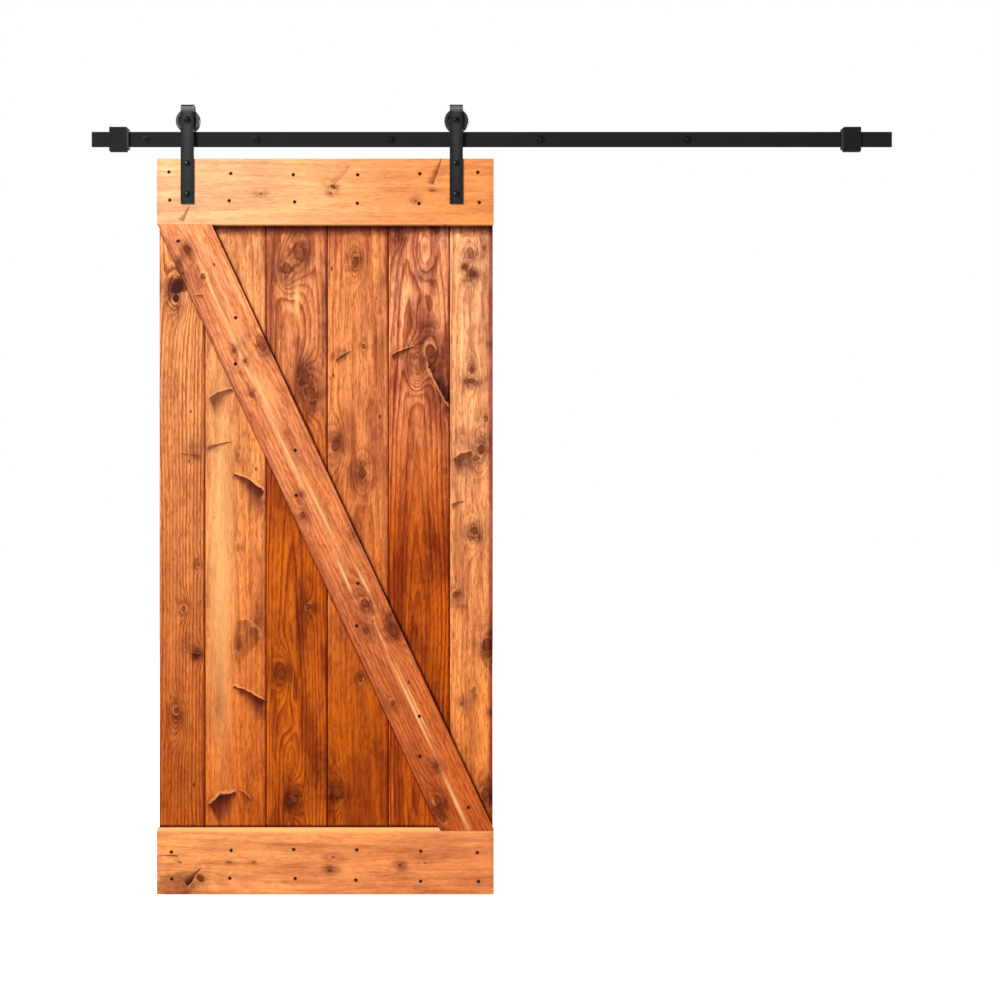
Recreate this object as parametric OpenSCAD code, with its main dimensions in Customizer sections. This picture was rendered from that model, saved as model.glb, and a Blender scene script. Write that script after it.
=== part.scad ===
// Sliding barn door: a planked timber door with one diagonal brace, hung from two
// strap hangers whose grooved wheels roll along a flat steel track.
// X runs along the track to the right, Y points into the wall and Z is up.
// The origin is on the wall plane, on the axis of the left-hand wall bolt.
// Lengths are in millimetres.

/* [Door panel] */
// Width of the door over its two rails
door_w = 965; // [780:5:1200]
// Height of the door
door_h = 2108; // [1700:1:2600]
// Left edge of the door from the first wall bolt, as it is parked
door_x = 30; // [0:1:90]
// Gap between the track and the top of the door
door_gap = 35.5; // [28:0.5:60]
// Gap between the back of the door and the wall
wall_gap = 11.5; // [9.5:0.5:25]
// Thickness of the planks
plank_t = 19; // [14:0.5:28]
// Face width of the left-hand plank
left_plank_w = 132; // [100:1:170]
// Face width of the right-hand plank
right_plank_w = 123; // [100:1:160]
// Bevel on the front edges of each plank
plank_bevel = 3.5; // [0.5:0.5:4]
// Gap between the faces of two planks
plank_gap = 0.6; // [0.2:0.1:1.5]
// Thickness of the tongue between two planks
tongue_t = 6; // [4:0.5:8]
// Reach of the tongue
tongue_l = 6; // [3:0.5:8]
// Clearance of a tongue in its groove
tongue_gap = 0.3; // [0.1:0.1:0.6]

/* [Rails and brace] */
// Thickness of the rails and the brace
board_t = 19; // [14:0.5:28]
// Height of each rail
rail_board_h = 189; // [140:1:240]
// How far the rails stand out past the planks at each side
rail_overhang = 3; // [1:0.5:8]
// Width of the brace
brace_w = 140; // [90:1:180]
// Middle of the brace from the door's edge, where it meets a rail
brace_inset = 79; // [60:1:140]
// Bevel on the long front edges of the rails and the brace
board_ease = 1.5; // [0.5:0.25:3]
// Weather bevel along the top front edge of the bottom rail
rail_weather = 10; // [2:0.5:12]

/* [Wood screws] */
// Diameter of the screw heads
screw_head_d = 8; // [6:0.5:10]
// Diameter of the screw shanks
screw_d = 3.8; // [3:0.1:4.5]
// Reach of the screws into the planks
screw_bite = 13; // [8:0.5:13]
// Outer row of screws from the top of the top rail and the foot of the bottom rail
screw_row_outer = 42; // [30:1:55]
// Distance between the two rows in a rail
screw_row_pitch = 82; // [60:1:95]
// Outer screws of the bottom rail from the door's edge
screw_edge = 44; // [30:1:62]
// How far hand-driven screws stray from their places
screw_stray = 5; // [0:1:8]
// Brace screws above the brace's middle line, straight up from it
brace_screw_up = 37; // [20:1:60]
// Brace screws below the brace's middle line, straight down from it
brace_screw_down = 86; // [50:1:100]
// Screw at the brace's foot above its middle line, straight up from it
brace_screw_foot = 74; // [50:1:90]
// Sideways shift of the rails' screws from the middles of the four middle planks
rail_screw_shift = [-13, -5, -2, 3];
// Sideways shift of the two end screws of the brace from their planks' middles
brace_screw_shift = 8; // [0:1:20]

/* [Track] */
// Length of the track
track_l = 2297; // [1900:1:2800]
// Height of the track
track_h = 43; // [34:1:55]
// Thickness of the track
track_t = 6; // [5:0.5:8]
// Left end of the track from the first wall bolt
track_end = 159; // [140:1:200]
// Wall bolts along the track, from the first one
bolt_x = [0, 316, 702, 1130, 1551];
// Diameter of the standoffs behind the track
standoff_d = 22; // [18:1:28]

/* [Wall bolts] */
// Diameter of the shank
wall_bolt_d = 8; // [6:0.5:9]
// Mean diameter of the threaded end
wall_thread_d = 7; // [5:0.5:8]
// Reach of the thread into the wall, without its point
wall_thread_l = 28; // [20:1:50]
// Length of the point
wall_point_l = 5; // [3:1:8]
// Diameter of the domed head
wall_head_d = 14; // [12:1:18]
// Height of the domed head
wall_head_h = 4.2; // [3:0.1:5]
// Diameter of the washer under the head
wall_washer_d = 24; // [20:1:30]
// Thickness of the washer under the head
wall_washer_t = 1.2; // [0.8:0.1:2]
// Clearance around a bolt in its hole, on the radius
bolt_clear = 0.4; // [0.2:0.1:0.8]

/* [Wheels] */
// Radius over the wheel's flanges
wheel_r = 34.5; // [30:0.5:45]
// Depth of the groove that rolls on the track
groove_depth = 4; // [3:0.25:6]
// Width of the wheel
wheel_w = 18; // [15:0.5:24]
// Side clearance of the track in the groove
groove_gap = 0.5; // [0.3:0.1:1.5]
// How much the groove widens at each side, up to its mouth
groove_flare = 1.5; // [0.5:0.25:2]
// Depth of the dished ring in each face
wheel_dish = 5; // [2:0.5:6]
// Thickness of the wheel's hub around the bearing
wheel_hub_wall = 4; // [3:0.5:5]
// Thickness of the wheel's rim under the groove
wheel_rim_wall = 5; // [3:0.5:6]
// Running gap under the wheel
roll_gap = 0.3; // [0.3:0.05:0.6]
// Gap between the wheel and the strap at each side
wheel_side_gap = 2.5; // [1.5:0.5:5]

/* [Bearings] */
// Bore of the bearing, and diameter of the axle
axle_d = 10; // [8:1:12]
// Outer diameter of the bearing
bearing_d = 26; // [22:1:30]
// Width of the bearing
bearing_w = 8; // [7:0.5:10]
// Diameter of the balls
ball_d = 4; // [3:0.25:4.5]
// Running gap around the balls, on the radius
ball_gap = 0.1; // [0.05:0.01:0.2]
// Number of balls
ball_count = 9; // [6:1:10]

/* [Hangers] */
// Middle of the left hanger from the door's left edge
left_hanger_inset = 88; // [70:1:105]
// Middle of the right hanger from the door's right edge
right_hanger_inset = 107; // [70:1:140]
// Width of the strap
strap_w = 38; // [32:1:50]
// Thickness of the strap
strap_t = 5; // [4:0.5:7]
// Free height between the wheel and the strap's bend
strap_headroom = 8.2; // [5:0.1:12]
// Reach of the strap below the top of the door
strap_reach = 130; // [110:1:170]
// Upper hanger bolt below the top of the door
hanger_bolt_high = 15; // [13:1:25]
// Lower hanger bolt from the foot of the strap
hanger_bolt_low = 27; // [15:1:40]
// Diameter of the hanger bolts
hanger_bolt_d = 8; // [6:0.5:10]
// Diameter of the hanger bolts' domed heads
hanger_head_d = 18; // [16:0.5:22]
// Height of the hanger bolts' domed heads
hanger_head_h = 4.5; // [3:0.1:5.5]
// Thickness of the thin nuts behind the door
thin_nut_h = 5; // [4:0.5:6]
// Thickness of the washers behind the door
washer_t = 1.6; // [1:0.1:2.5]
// Diameter of the axle bolt's head
axle_head_d = 20; // [17:0.5:24]
// Height of the axle bolt's head
axle_head_h = 5; // [4:0.25:6]
// Height of the axle's lock nut
axle_nut_h = 8; // [6:0.5:10]
// Length of a bolt's end past its nut
bolt_tail = 1.4; // [0.5:0.1:2]

/* [Stops] */
// Outer face of the left stop from the track's left end
left_stop_inset = 52; // [10:1:80]
// Outer face of the right stop from the track's right end
right_stop_inset = 90; // [10:1:120]
// Width of the stop's steel block, along the track
stop_w = 50; // [40:1:60]
// Reach of the stop's block above and below the track
stop_reach = 13; // [10:0.5:20]
// Thickness of the block in front of the track
stop_front_t = 7.5; // [6:0.5:8]
// Thickness of the clamp plate behind the track
stop_back_t = 7; // [5:0.5:8]
// Thickness of the rubber bumper
bumper_t = 6; // [4:0.5:10]
// Reach of the rubber bumper above and below the track
bumper_reach = 8; // [5:0.5:10]
// Corner radius of the rubber bumper
bumper_corner = 4; // [1:0.5:6]
// Clearance of the stop above and below the track
stop_gap = 0.2; // [0.1:0.05:0.5]
// How far the stop's block ends short of the clamp plate, so that the plate grips
clamp_bite = 0.4; // [0.2:0.1:1]
// Diameter of the clamp screws
clamp_screw_d = 5; // [4:0.5:6]

/* [Hidden] */
$fn = 64;
cut = 1; // how far a cutting shape runs past what it cuts

// Finishes
wood_light = [0.92, 0.62, 0.36];
wood_mid = [0.80, 0.45, 0.22];
wood_dark = [0.68, 0.34, 0.14];
wood_red = [0.85, 0.50, 0.32];
black_steel = [0.16, 0.16, 0.16];
zinc = [0.62, 0.63, 0.65];
black_nylon = [0.11, 0.11, 0.12];
black_rubber = [0.07, 0.07, 0.07];

// Planks: one narrow plank at each edge and equal planks between them
middle_planks = 4;
plank_count = middle_planks + 2;
panel_w = door_w - 2 * rail_overhang;
middle_plank_w = (panel_w - left_plank_w - right_plank_w) / middle_planks;

// Layers from the wall out, as Y values
door_depth = plank_t + board_t;
hanger_gap = wheel_w + 2 * wheel_side_gap;
back_y = -wall_gap;
panel_y = back_y - plank_t;
front_y = panel_y - board_t;
track_y = front_y + hanger_gap / 2;
track_back_y = track_y + track_t / 2;
track_front_y = track_y - track_t / 2;
back_leg_y = front_y + hanger_gap;

// Heights, as Z values
wheel_root_r = wheel_r - groove_depth;
axle_z = track_h / 2 + wheel_root_r + roll_gap;
door_top = -track_h / 2 - door_gap;
door_foot = door_top - door_h;
crown_z = axle_z + wheel_r + strap_headroom;
bend_z = crown_z - hanger_gap / 2;
rail_foot = door_top - rail_board_h;
rail_head = door_foot + rail_board_h;

// Places along the track, as X values
left_hanger_x = door_x + left_hanger_inset;
right_hanger_x = door_x + door_w - right_hanger_inset;
track_left = -track_end;
track_right = track_left + track_l;

// Nuts and sockets across the flats, and washers, as shares of the bolt's diameter
nut_ratio = 1.65;
socket_ratio = 0.62;
washer_ratio = 2.4;
button_ratio = 1.8;
button_height = 0.55;
// Depth of a socket as a share of its head's height
socket_depth = 0.65;
// Flat ring left on a nut's chamfered face, as a share of its size across the flats
nut_face = 0.96;
// Rim below the dome of a bolt's head
dome_land = 0.6;
// Close clearances on the radius: threads, turned seats and screws in wood
thread_clear = 0.05;
seat_clear = 0.02;
screw_clear = 0.1;
// Free end of a pilot hole past its screw's point
pilot_end = 0.5;
// Countersunk heads and points of the wood screws, and the cross in their heads
countersink_h = (screw_head_d - screw_d) / 2 + 0.4;
screw_l = board_t + screw_bite;
screw_tip = 4;
screw_point_d = 0.4;
wall_point_d = 1;
cross_l = screw_head_d * 0.55;
cross_w = 1;
cross_depth = 1.4;
// Square neck under a hanger bolt's head, which keeps it from turning in the strap
neck_w = hanger_bolt_d;
neck_l = strap_t - 0.5;

// Left edge of plank i, counted from 0, and its right edge
function plank_left(i) = door_x + rail_overhang
    + (i == 0 ? 0 : left_plank_w + (i - 1) * middle_plank_w);
function plank_right(i) = i == plank_count - 1
    ? door_x + door_w - rail_overhang
    : plank_left(i + 1);
function plank_middle(i) = (plank_left(i) + plank_right(i)) / 2;

// Small repeatable strays of the hand-driven screws, one for each number k
function stray(k) = screw_stray * sin(137 * k);
// A screw set off from [x, z] by two strays, along the grain less than across it
function strayed(x, z, k) = [x + 0.6 * stray(k), z + stray(3 * k + 1)];

// Outer screws of the top rail stand midway between the door's edge and the strap
strap_side_left = left_hanger_inset - strap_w / 2;
strap_side_right = right_hanger_inset - strap_w / 2;
function top_screw_x(i) =
    i == 0 ? door_x + strap_side_left / 2
    : i == plank_count - 1 ? door_x + door_w - strap_side_right / 2
    : plank_middle(i) + rail_screw_shift[i - 1];
function bottom_screw_x(i) =
    i == 0 ? door_x + screw_edge
    : i == plank_count - 1 ? door_x + door_w - screw_edge
    : plank_middle(i) + rail_screw_shift[i - 1];

// Screw places are [x, z] points
top_screws = [
    for (i = [0:plank_count - 1], row = [0, 1])
        strayed(
            top_screw_x(i),
            door_top - screw_row_outer - row * screw_row_pitch,
            i + plank_count * row
        )
];
bottom_screws = [
    for (i = [0:plank_count - 1], row = [0, 1])
        strayed(
            bottom_screw_x(i),
            door_foot + screw_row_outer + row * screw_row_pitch,
            i + plank_count * (row + 2)
        )
];

// The brace's middle line runs through the middle of the door, between the rails
brace_rise = rail_foot - rail_head;
brace_run = door_w - 2 * brace_inset;
brace_tilt = atan2(brace_run, brace_rise);
door_middle = [door_x + door_w / 2, (rail_foot + rail_head) / 2];
function brace_line(x) = door_middle[1] - (x - door_middle[0]) * brace_rise / brace_run;
first_screw_x = plank_middle(0) - brace_screw_shift;
last_screw_x = plank_middle(plank_count - 1) - brace_screw_shift;
brace_screws_at = concat(
    [[first_screw_x, brace_line(first_screw_x) - brace_screw_down]],
    [for (i = [1:middle_planks], drop = [-brace_screw_up, brace_screw_down])
        strayed(plank_middle(i), brace_line(plank_middle(i)) - drop, i + drop)],
    [[last_screw_x, brace_line(last_screw_x) + brace_screw_foot]]
);
// The brace's foot reaches down over this share of the bottom rail's bevel
brace_lap = rail_weather * 0.6;
hanger_bolt_drops = [hanger_bolt_high, strap_reach - hanger_bolt_low];
hanger_bolts_at = [
    for (x = [left_hanger_x, right_hanger_x], drop = hanger_bolt_drops) [x, door_top - drop]
];

// ---------- shared shapes, which point along +Y ----------

module along_y(x, y, z) {
    translate([x, y, z]) rotate([-90, 0, 0]) children();
}

module rod(d, y0, y1) {
    translate([0, 0, y0]) cylinder(d = d, h = y1 - y0);
}

module hexagon(flats, h) {
    cylinder(d = flats / cos(30), h = h, $fn = 6);
}

// Spherical cap of diameter d on a short land, top towards -Z, seated at z = 0
module dome(d, h) {
    cap = h - dome_land;
    r = (d * d / 4 + cap * cap) / (2 * cap);
    intersection() {
        translate([0, 0, r - h]) sphere(r = r);
        translate([0, 0, -h - cut]) cylinder(d = d, h = h + cut);
    }
}

module socket_dome(d, h, flats) {
    difference() {
        dome(d, h);
        translate([0, 0, -h - cut]) hexagon(flats, cut + h * socket_depth);
    }
}

module ring(d_out, d_in, h) {
    difference() {
        cylinder(d = d_out, h = h);
        translate([0, 0, -cut]) cylinder(d = d_in, h = h + 2 * cut);
    }
}

// Hexagon nut with the corners of its outer face chamfered at 30 degrees, and its bore
module nut(d, h) {
    flats = nut_ratio * d;
    face_r = nut_face * flats / 2;
    difference() {
        intersection() {
            hexagon(flats, h);
            cylinder(r1 = face_r + h / tan(30), r2 = face_r, h = h);
        }
        translate([0, 0, -cut]) cylinder(d = d + 2 * thread_clear, h = h + 2 * cut);
    }
}

// ---------- door panel ----------

// Plank outline across the grain, front edge at the smaller Y
module plank_outline(x0, x1, has_groove, has_tongue) {
    left = x0 + (has_groove ? plank_gap / 2 : 0);
    right = x1 - (has_tongue ? plank_gap / 2 : 0);
    mid = (panel_y + back_y) / 2;
    half = tongue_t / 2;
    slot = half + tongue_gap;
    depth = tongue_l + tongue_gap;
    polygon(concat(
        [[left, back_y]],
        has_groove
            ? [[left, mid + slot], [left + depth, mid + slot],
               [left + depth, mid - slot], [left, mid - slot]]
            : [],
        [[left, panel_y + plank_bevel], [left + plank_bevel, panel_y],
         [right - plank_bevel, panel_y], [right, panel_y + plank_bevel]],
        has_tongue
            ? [[right, mid - half], [right + tongue_l, mid - half],
               [right + tongue_l, mid + half], [right, mid + half]]
            : [],
        [[right, back_y]]
    ));
}

// Pilot holes, only where they reach this plank
module pilot_holes(x0, x1) {
    for (p = concat(top_screws, bottom_screws, brace_screws_at))
        if (p[0] > x0 - screw_d && p[0] < x1 + tongue_l + screw_d)
            along_y(p[0], panel_y, p[1])
                rod(screw_d + 2 * screw_clear, -cut, screw_bite + pilot_end);
}

module hanger_holes(x0, x1) {
    d = hanger_bolt_d + 2 * bolt_clear;
    for (p = hanger_bolts_at)
        if (p[0] > x0 - d && p[0] < x1 + tongue_l + d)
            along_y(p[0], front_y, p[1]) rod(d, -cut, door_depth + cut);
}

module plank(i) {
    x0 = plank_left(i);
    x1 = plank_right(i);
    color(i % 2 == 0 ? wood_dark : wood_mid) difference() {
        translate([0, 0, door_foot]) linear_extrude(height = door_h)
            plank_outline(x0, x1, i > 0, i < plank_count - 1);
        pilot_holes(x0, x1);
        hanger_holes(x0, x1);
    }
}

// Countersunk holes for the screws at the given places
module countersinks(places) {
    for (p = places) along_y(p[0], front_y, p[1]) {
        rod(screw_d + 2 * screw_clear, -cut, board_t + cut);
        cylinder(
            d1 = screw_head_d + 2 * screw_clear,
            d2 = screw_d + 2 * screw_clear, h = countersink_h
        );
    }
}

// Board lying along X with its long front edges eased: h is its width, up Z
module eased_board(l, h, upper_ease = board_ease) {
    rotate([90, 0, 90]) linear_extrude(height = l) polygon([
        [board_t, 0], [board_ease, 0], [0, board_ease],
        [0, h - upper_ease], [upper_ease, h], [board_t, h]
    ]);
}

module top_rail() {
    color(wood_light) difference() {
        translate([door_x, front_y, rail_foot]) eased_board(door_w, rail_board_h);
        countersinks(top_screws);
        hanger_holes(door_x, door_x + door_w);
    }
}

module bottom_rail() {
    color(wood_light) difference() {
        translate([door_x, front_y, door_foot])
            eased_board(door_w, rail_board_h, rail_weather);
        countersinks(bottom_screws);
    }
}

// Space between the rails and the planks' outer edges, down over the bottom rail's bevel
module brace_space() {
    translate([door_x + rail_overhang, front_y, rail_head]) rotate([90, 0, 90])
        linear_extrude(height = panel_w) polygon([
            [0, -brace_lap], [rail_weather - brace_lap, -brace_lap], [rail_weather, 0],
            [board_t, 0], [board_t, brace_rise], [0, brace_rise]
        ]);
}

// The brace is a straight board cut to fill that space
module brace() {
    long = door_h + door_w;
    color(wood_red) difference() {
        intersection() {
            translate([door_middle[0], front_y, door_middle[1]])
                rotate([0, 90 - brace_tilt, 0])
                    translate([-long / 2, 0, -brace_w / 2]) eased_board(long, brace_w);
            brace_space();
        }
        countersinks(brace_screws_at);
    }
}

module wood_screw() {
    difference() {
        union() {
            cylinder(d1 = screw_head_d, d2 = screw_d, h = countersink_h);
            rod(screw_d, 0, screw_l - screw_tip);
            translate([0, 0, screw_l - screw_tip])
                cylinder(d1 = screw_d, d2 = screw_point_d, h = screw_tip);
        }
        for (turn = [0, 90]) rotate(turn) translate([-cross_l / 2, -cross_w / 2, -cut])
            cube([cross_l, cross_w, cut + cross_depth]);
    }
}

module screw_set(places) {
    color(black_steel) for (k = [0:len(places) - 1])
        along_y(places[k][0], front_y, places[k][1]) rotate(47 * k) wood_screw();
}

// ---------- track ----------

module track() {
    color(black_steel) difference() {
        translate([track_left, track_front_y, -track_h / 2])
            cube([track_l, track_t, track_h]);
        for (x = bolt_x)
            along_y(x, track_front_y, 0)
                rod(wall_bolt_d + 2 * bolt_clear, -cut, track_t + cut);
    }
}

module standoff(x) {
    color(black_steel) along_y(x, track_back_y, 0)
        ring(standoff_d, wall_bolt_d + 2 * bolt_clear, -track_back_y);
}

module wall_bolt(x) {
    color(black_steel) along_y(x, 0, 0) {
        translate([0, 0, track_front_y - wall_washer_t])
            socket_dome(wall_head_d, wall_head_h, wall_bolt_d * socket_ratio);
        rod(wall_bolt_d, track_front_y - wall_washer_t, 0);
        rod(wall_thread_d, 0, wall_thread_l);
        translate([0, 0, wall_thread_l])
            cylinder(d1 = wall_thread_d, d2 = wall_point_d, h = wall_point_l);
    }
}

module wall_bolt_washers() {
    color(black_steel) for (x = bolt_x)
        along_y(x, track_front_y - wall_washer_t, 0)
            ring(wall_washer_d, wall_bolt_d + 2 * bolt_clear, wall_washer_t);
}

// ---------- stops: side is 1 where the bumper faces +X, and -1 where it faces -X ----------

left_stop_x = track_left + left_stop_inset;
right_stop_x = track_right - right_stop_inset;
stop_front_y = track_front_y - stop_front_t;
stop_back_y = track_back_y + stop_back_t;
stop_h = track_h + 2 * stop_reach;
bumper_h = track_h + 2 * bumper_reach;
stop_screw_z = (track_h + stop_reach) / 2;
slot_h = track_h + 2 * stop_gap;
clamp_screw_l = stop_back_y - track_front_y + stop_front_t / 2;

// Puts its children on the stop's outer face, with +X running towards the bumper
module on_stop(side) {
    translate([side > 0 ? left_stop_x : right_stop_x, 0, 0])
        mirror([side > 0 ? 0 : 1, 0, 0]) children();
}

// Puts its children on the two screw axes at the back of the clamp plate
module clamp_screw_places() {
    for (z = [-stop_screw_z, stop_screw_z])
        along_y(stop_w / 2, stop_back_y, z) children();
}

module stop_block(side) {
    depth = track_back_y - clamp_bite - stop_front_y;
    color(black_steel) on_stop(side) difference() {
        translate([0, stop_front_y, -stop_h / 2]) cube([stop_w, depth, stop_h]);
        translate([-cut, track_front_y, -slot_h / 2])
            cube([stop_w + 2 * cut, track_t, slot_h]);
        clamp_screw_places()
            rod(clamp_screw_d + 2 * thread_clear, -clamp_screw_l - cut, 0);
    }
}

module stop_clamp(side) {
    color(black_steel) on_stop(side) difference() {
        translate([0, track_back_y, -stop_h / 2]) cube([stop_w, stop_back_t, stop_h]);
        clamp_screw_places()
            rod(clamp_screw_d + 2 * bolt_clear, -stop_back_t - cut, cut);
    }
}

module rounded_rectangle(w, h, r) {
    square([w - 2 * r, h], center = true);
    square([w, h - 2 * r], center = true);
    for (x = [-1, 1], y = [-1, 1])
        translate([x * (w / 2 - r), y * (h / 2 - r)]) circle(r = r);
}

// A moulded pad with a slot that the track runs through
module stop_bumper(side) {
    depth = stop_back_y - stop_front_y;
    color(black_rubber) on_stop(side)
        translate([stop_w, (stop_front_y + stop_back_y) / 2, 0])
            rotate([90, 0, 90]) linear_extrude(height = bumper_t) difference() {
                rounded_rectangle(depth, bumper_h, bumper_corner);
                translate([track_y - (stop_front_y + stop_back_y) / 2, 0])
                    square([track_t + 2 * stop_gap, slot_h], center = true);
            }
}

module stop_screws(side) {
    head_d = button_ratio * clamp_screw_d;
    head_h = button_height * clamp_screw_d;
    color(black_steel) on_stop(side) clamp_screw_places() {
        rotate([180, 0, 0]) socket_dome(head_d, head_h, clamp_screw_d * socket_ratio);
        rod(clamp_screw_d, -clamp_screw_l, 0);
    }
}

// ---------- hangers: x is the middle of the strap ----------

module strap(x) {
    bend_r = hanger_gap / 2 + strap_t;
    bottom = door_top - strap_reach;
    neck_hole = neck_w + 2 * thread_clear;
    color(black_steel) translate([x, 0, 0]) difference() {
        union() {
            translate([-strap_w / 2, front_y - strap_t, bottom])
                cube([strap_w, strap_t, bend_z - bottom]);
            back_leg();
            translate([0, track_y, bend_z]) difference() {
                rotate([0, 90, 0]) cylinder(r = bend_r, h = strap_w, center = true);
                rotate([0, 90, 0])
                    cylinder(r = hanger_gap / 2, h = strap_w + 2 * cut, center = true);
                translate([-strap_w, -2 * bend_r, -4 * bend_r])
                    cube([2 * strap_w, 4 * bend_r, 4 * bend_r]);
            }
        }
        along_y(0, front_y, axle_z)
            rod(axle_d + 2 * seat_clear, -strap_t - cut, hanger_gap + strap_t + cut);
        for (drop = hanger_bolt_drops)
            translate([0, front_y - strap_t / 2, door_top - drop])
                cube([neck_hole, strap_t + 2 * cut, neck_hole], center = true);
    }
}

// Rear leg, which carries the axle's back end and is rounded below it
module back_leg() {
    translate([-strap_w / 2, back_leg_y, axle_z])
        cube([strap_w, strap_t, bend_z - axle_z]);
    along_y(0, back_leg_y, axle_z) cylinder(d = strap_w, h = strap_t);
}

module hanger_bolt() {
    grip = door_depth + washer_t + thin_nut_h;
    translate([0, 0, -strap_t]) dome(hanger_head_d, hanger_head_h);
    translate([-neck_w / 2, -neck_w / 2, -strap_t]) cube([neck_w, neck_w, neck_l]);
    rod(hanger_bolt_d, -strap_t, grip + bolt_tail);
}

// Puts its children at the two bolts of one hanger, seated on the door's front
module hanger_bolt_places(x) {
    for (drop = hanger_bolt_drops) along_y(x, front_y, door_top - drop) children();
}

module hanger_bolts(x) {
    color(black_steel) hanger_bolt_places(x) hanger_bolt();
}

module hanger_washers(x) {
    color(zinc) hanger_bolt_places(x) translate([0, 0, door_depth])
        ring(washer_ratio * hanger_bolt_d, hanger_bolt_d + 2 * bolt_clear, washer_t);
}

module hanger_nuts(x) {
    color(zinc) hanger_bolt_places(x) translate([0, 0, door_depth + washer_t])
        nut(hanger_bolt_d, thin_nut_h);
}

module axle_bolt(x) {
    color(black_steel) along_y(x, front_y, axle_z) {
        translate([0, 0, -strap_t])
            socket_dome(axle_head_d, axle_head_h, axle_d * socket_ratio);
        rod(axle_d, -strap_t, hanger_gap + strap_t + axle_nut_h + bolt_tail);
    }
}

module axle_nut(x) {
    color(zinc) along_y(x, back_leg_y + strap_t, axle_z) nut(axle_d, axle_nut_h);
}

// Sleeves that hold the bearing's inner ring between the strap's two legs
module axle_spacers(x) {
    sleeve = (hanger_gap - bearing_w) / 2;
    color(zinc) for (y = [front_y, track_y + bearing_w / 2])
        along_y(x, y, axle_z) ring(inner_ring_d, axle_d + 2 * thread_clear, sleeve);
}

// ---------- bearings ----------

pitch_r = (axle_d + bearing_d) / 4;
race_r = ball_d / 2 + ball_gap;
shoulder = ball_d * 0.36; // from the balls' middle to each ring's wall
inner_ring_d = 2 * (pitch_r - shoulder);
outer_ring_bore = 2 * (pitch_r + shoulder);
shield_t = 0.4;
shield_inset = 0.3;
shield_gap = 0.25;

// Ring from r0 to r1 with a ball race cut round it
module raced_ring(r0, r1) {
    rotate_extrude() difference() {
        translate([r0, -bearing_w / 2]) square([r1 - r0, bearing_w]);
        translate([pitch_r, 0]) circle(r = race_r);
    }
}

module bearing_inner(x) {
    color(zinc) along_y(x, track_y, axle_z)
        raced_ring(axle_d / 2 + seat_clear, inner_ring_d / 2);
}

module bearing_outer(x) {
    color(zinc) along_y(x, track_y, axle_z)
        raced_ring(outer_ring_bore / 2, bearing_d / 2);
}

module bearing_balls(x) {
    color(zinc) along_y(x, track_y, axle_z) for (k = [0:ball_count - 1])
        rotate(k * 360 / ball_count) translate([pitch_r, 0, 0]) sphere(d = ball_d);
}

// Thin rings that close the gap between the bearing's two rings, fixed to the outer one
module bearing_shields(x) {
    far = bearing_w / 2 - shield_inset;
    color(zinc) along_y(x, track_y, axle_z) for (z = [-far, far - shield_t])
        translate([0, 0, z])
            ring(outer_ring_bore, inner_ring_d + 2 * shield_gap, shield_t);
}

// ---------- wheels ----------

wheel_seat_r = bearing_d / 2;
wheel_lip_r = outer_ring_bore / 2;
wheel_hub_r = wheel_seat_r + wheel_hub_wall;
wheel_rim_r = wheel_root_r - wheel_rim_wall;
wheel_edge = 1; // chamfer on the outer corners

module wheel(x) {
    w = wheel_w / 2;
    web = w - wheel_dish;
    seat = bearing_w / 2;
    groove = track_t / 2 + groove_gap;
    mouth = groove + groove_flare;
    color(black_nylon) along_y(x, track_y, axle_z) rotate_extrude($fn = 128) polygon([
        [wheel_lip_r, -w], [wheel_hub_r, -w], [wheel_hub_r, -web],
        [wheel_rim_r, -web], [wheel_rim_r, -w], [wheel_r - wheel_edge, -w],
        [wheel_r, -w + wheel_edge], [wheel_r, -mouth], [wheel_root_r, -groove],
        [wheel_root_r, groove], [wheel_r, mouth], [wheel_r, w - wheel_edge],
        [wheel_r - wheel_edge, w], [wheel_rim_r, w], [wheel_rim_r, web],
        [wheel_hub_r, web], [wheel_hub_r, w], [wheel_seat_r, w],
        [wheel_seat_r, -seat], [wheel_lip_r, -seat]
    ]);
}

// ---------- what is drawn ----------

track();
standoff(bolt_x[0]);  // standoff_1
standoff(bolt_x[1]);  // standoff_2
standoff(bolt_x[2]);  // standoff_3
standoff(bolt_x[3]);  // standoff_4
standoff(bolt_x[4]);  // standoff_5
wall_bolt(bolt_x[0]);  // wall_bolt_1
wall_bolt(bolt_x[1]);  // wall_bolt_2
wall_bolt(bolt_x[2]);  // wall_bolt_3
wall_bolt(bolt_x[3]);  // wall_bolt_4
wall_bolt(bolt_x[4]);  // wall_bolt_5
wall_bolt_washers();

stop_block(1);  // left_stop_block
stop_clamp(1);  // left_stop_clamp
stop_bumper(1);  // left_stop_bumper
stop_screws(1);  // left_stop_screws
stop_block(-1);  // right_stop_block
stop_clamp(-1);  // right_stop_clamp
stop_bumper(-1);  // right_stop_bumper
stop_screws(-1);  // right_stop_screws

plank(0);  // plank_1
plank(1);  // plank_2
plank(2);  // plank_3
plank(3);  // plank_4
plank(4);  // plank_5
plank(5);  // plank_6
top_rail();
bottom_rail();
brace();
screw_set(top_screws);  // top_rail_screws
screw_set(bottom_screws);  // bottom_rail_screws
screw_set(brace_screws_at);  // brace_screws

strap(left_hanger_x);  // left_strap
hanger_bolts(left_hanger_x);  // left_hanger_bolts
hanger_washers(left_hanger_x);  // left_hanger_washers
hanger_nuts(left_hanger_x);  // left_hanger_nuts
axle_bolt(left_hanger_x);  // left_axle_bolt
axle_spacers(left_hanger_x);  // left_axle_spacers
axle_nut(left_hanger_x);  // left_axle_nut
bearing_inner(left_hanger_x);  // left_bearing_inner
bearing_outer(left_hanger_x);  // left_bearing_outer
bearing_balls(left_hanger_x);  // left_bearing_balls
bearing_shields(left_hanger_x);  // left_bearing_shields
wheel(left_hanger_x);  // left_wheel

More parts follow.
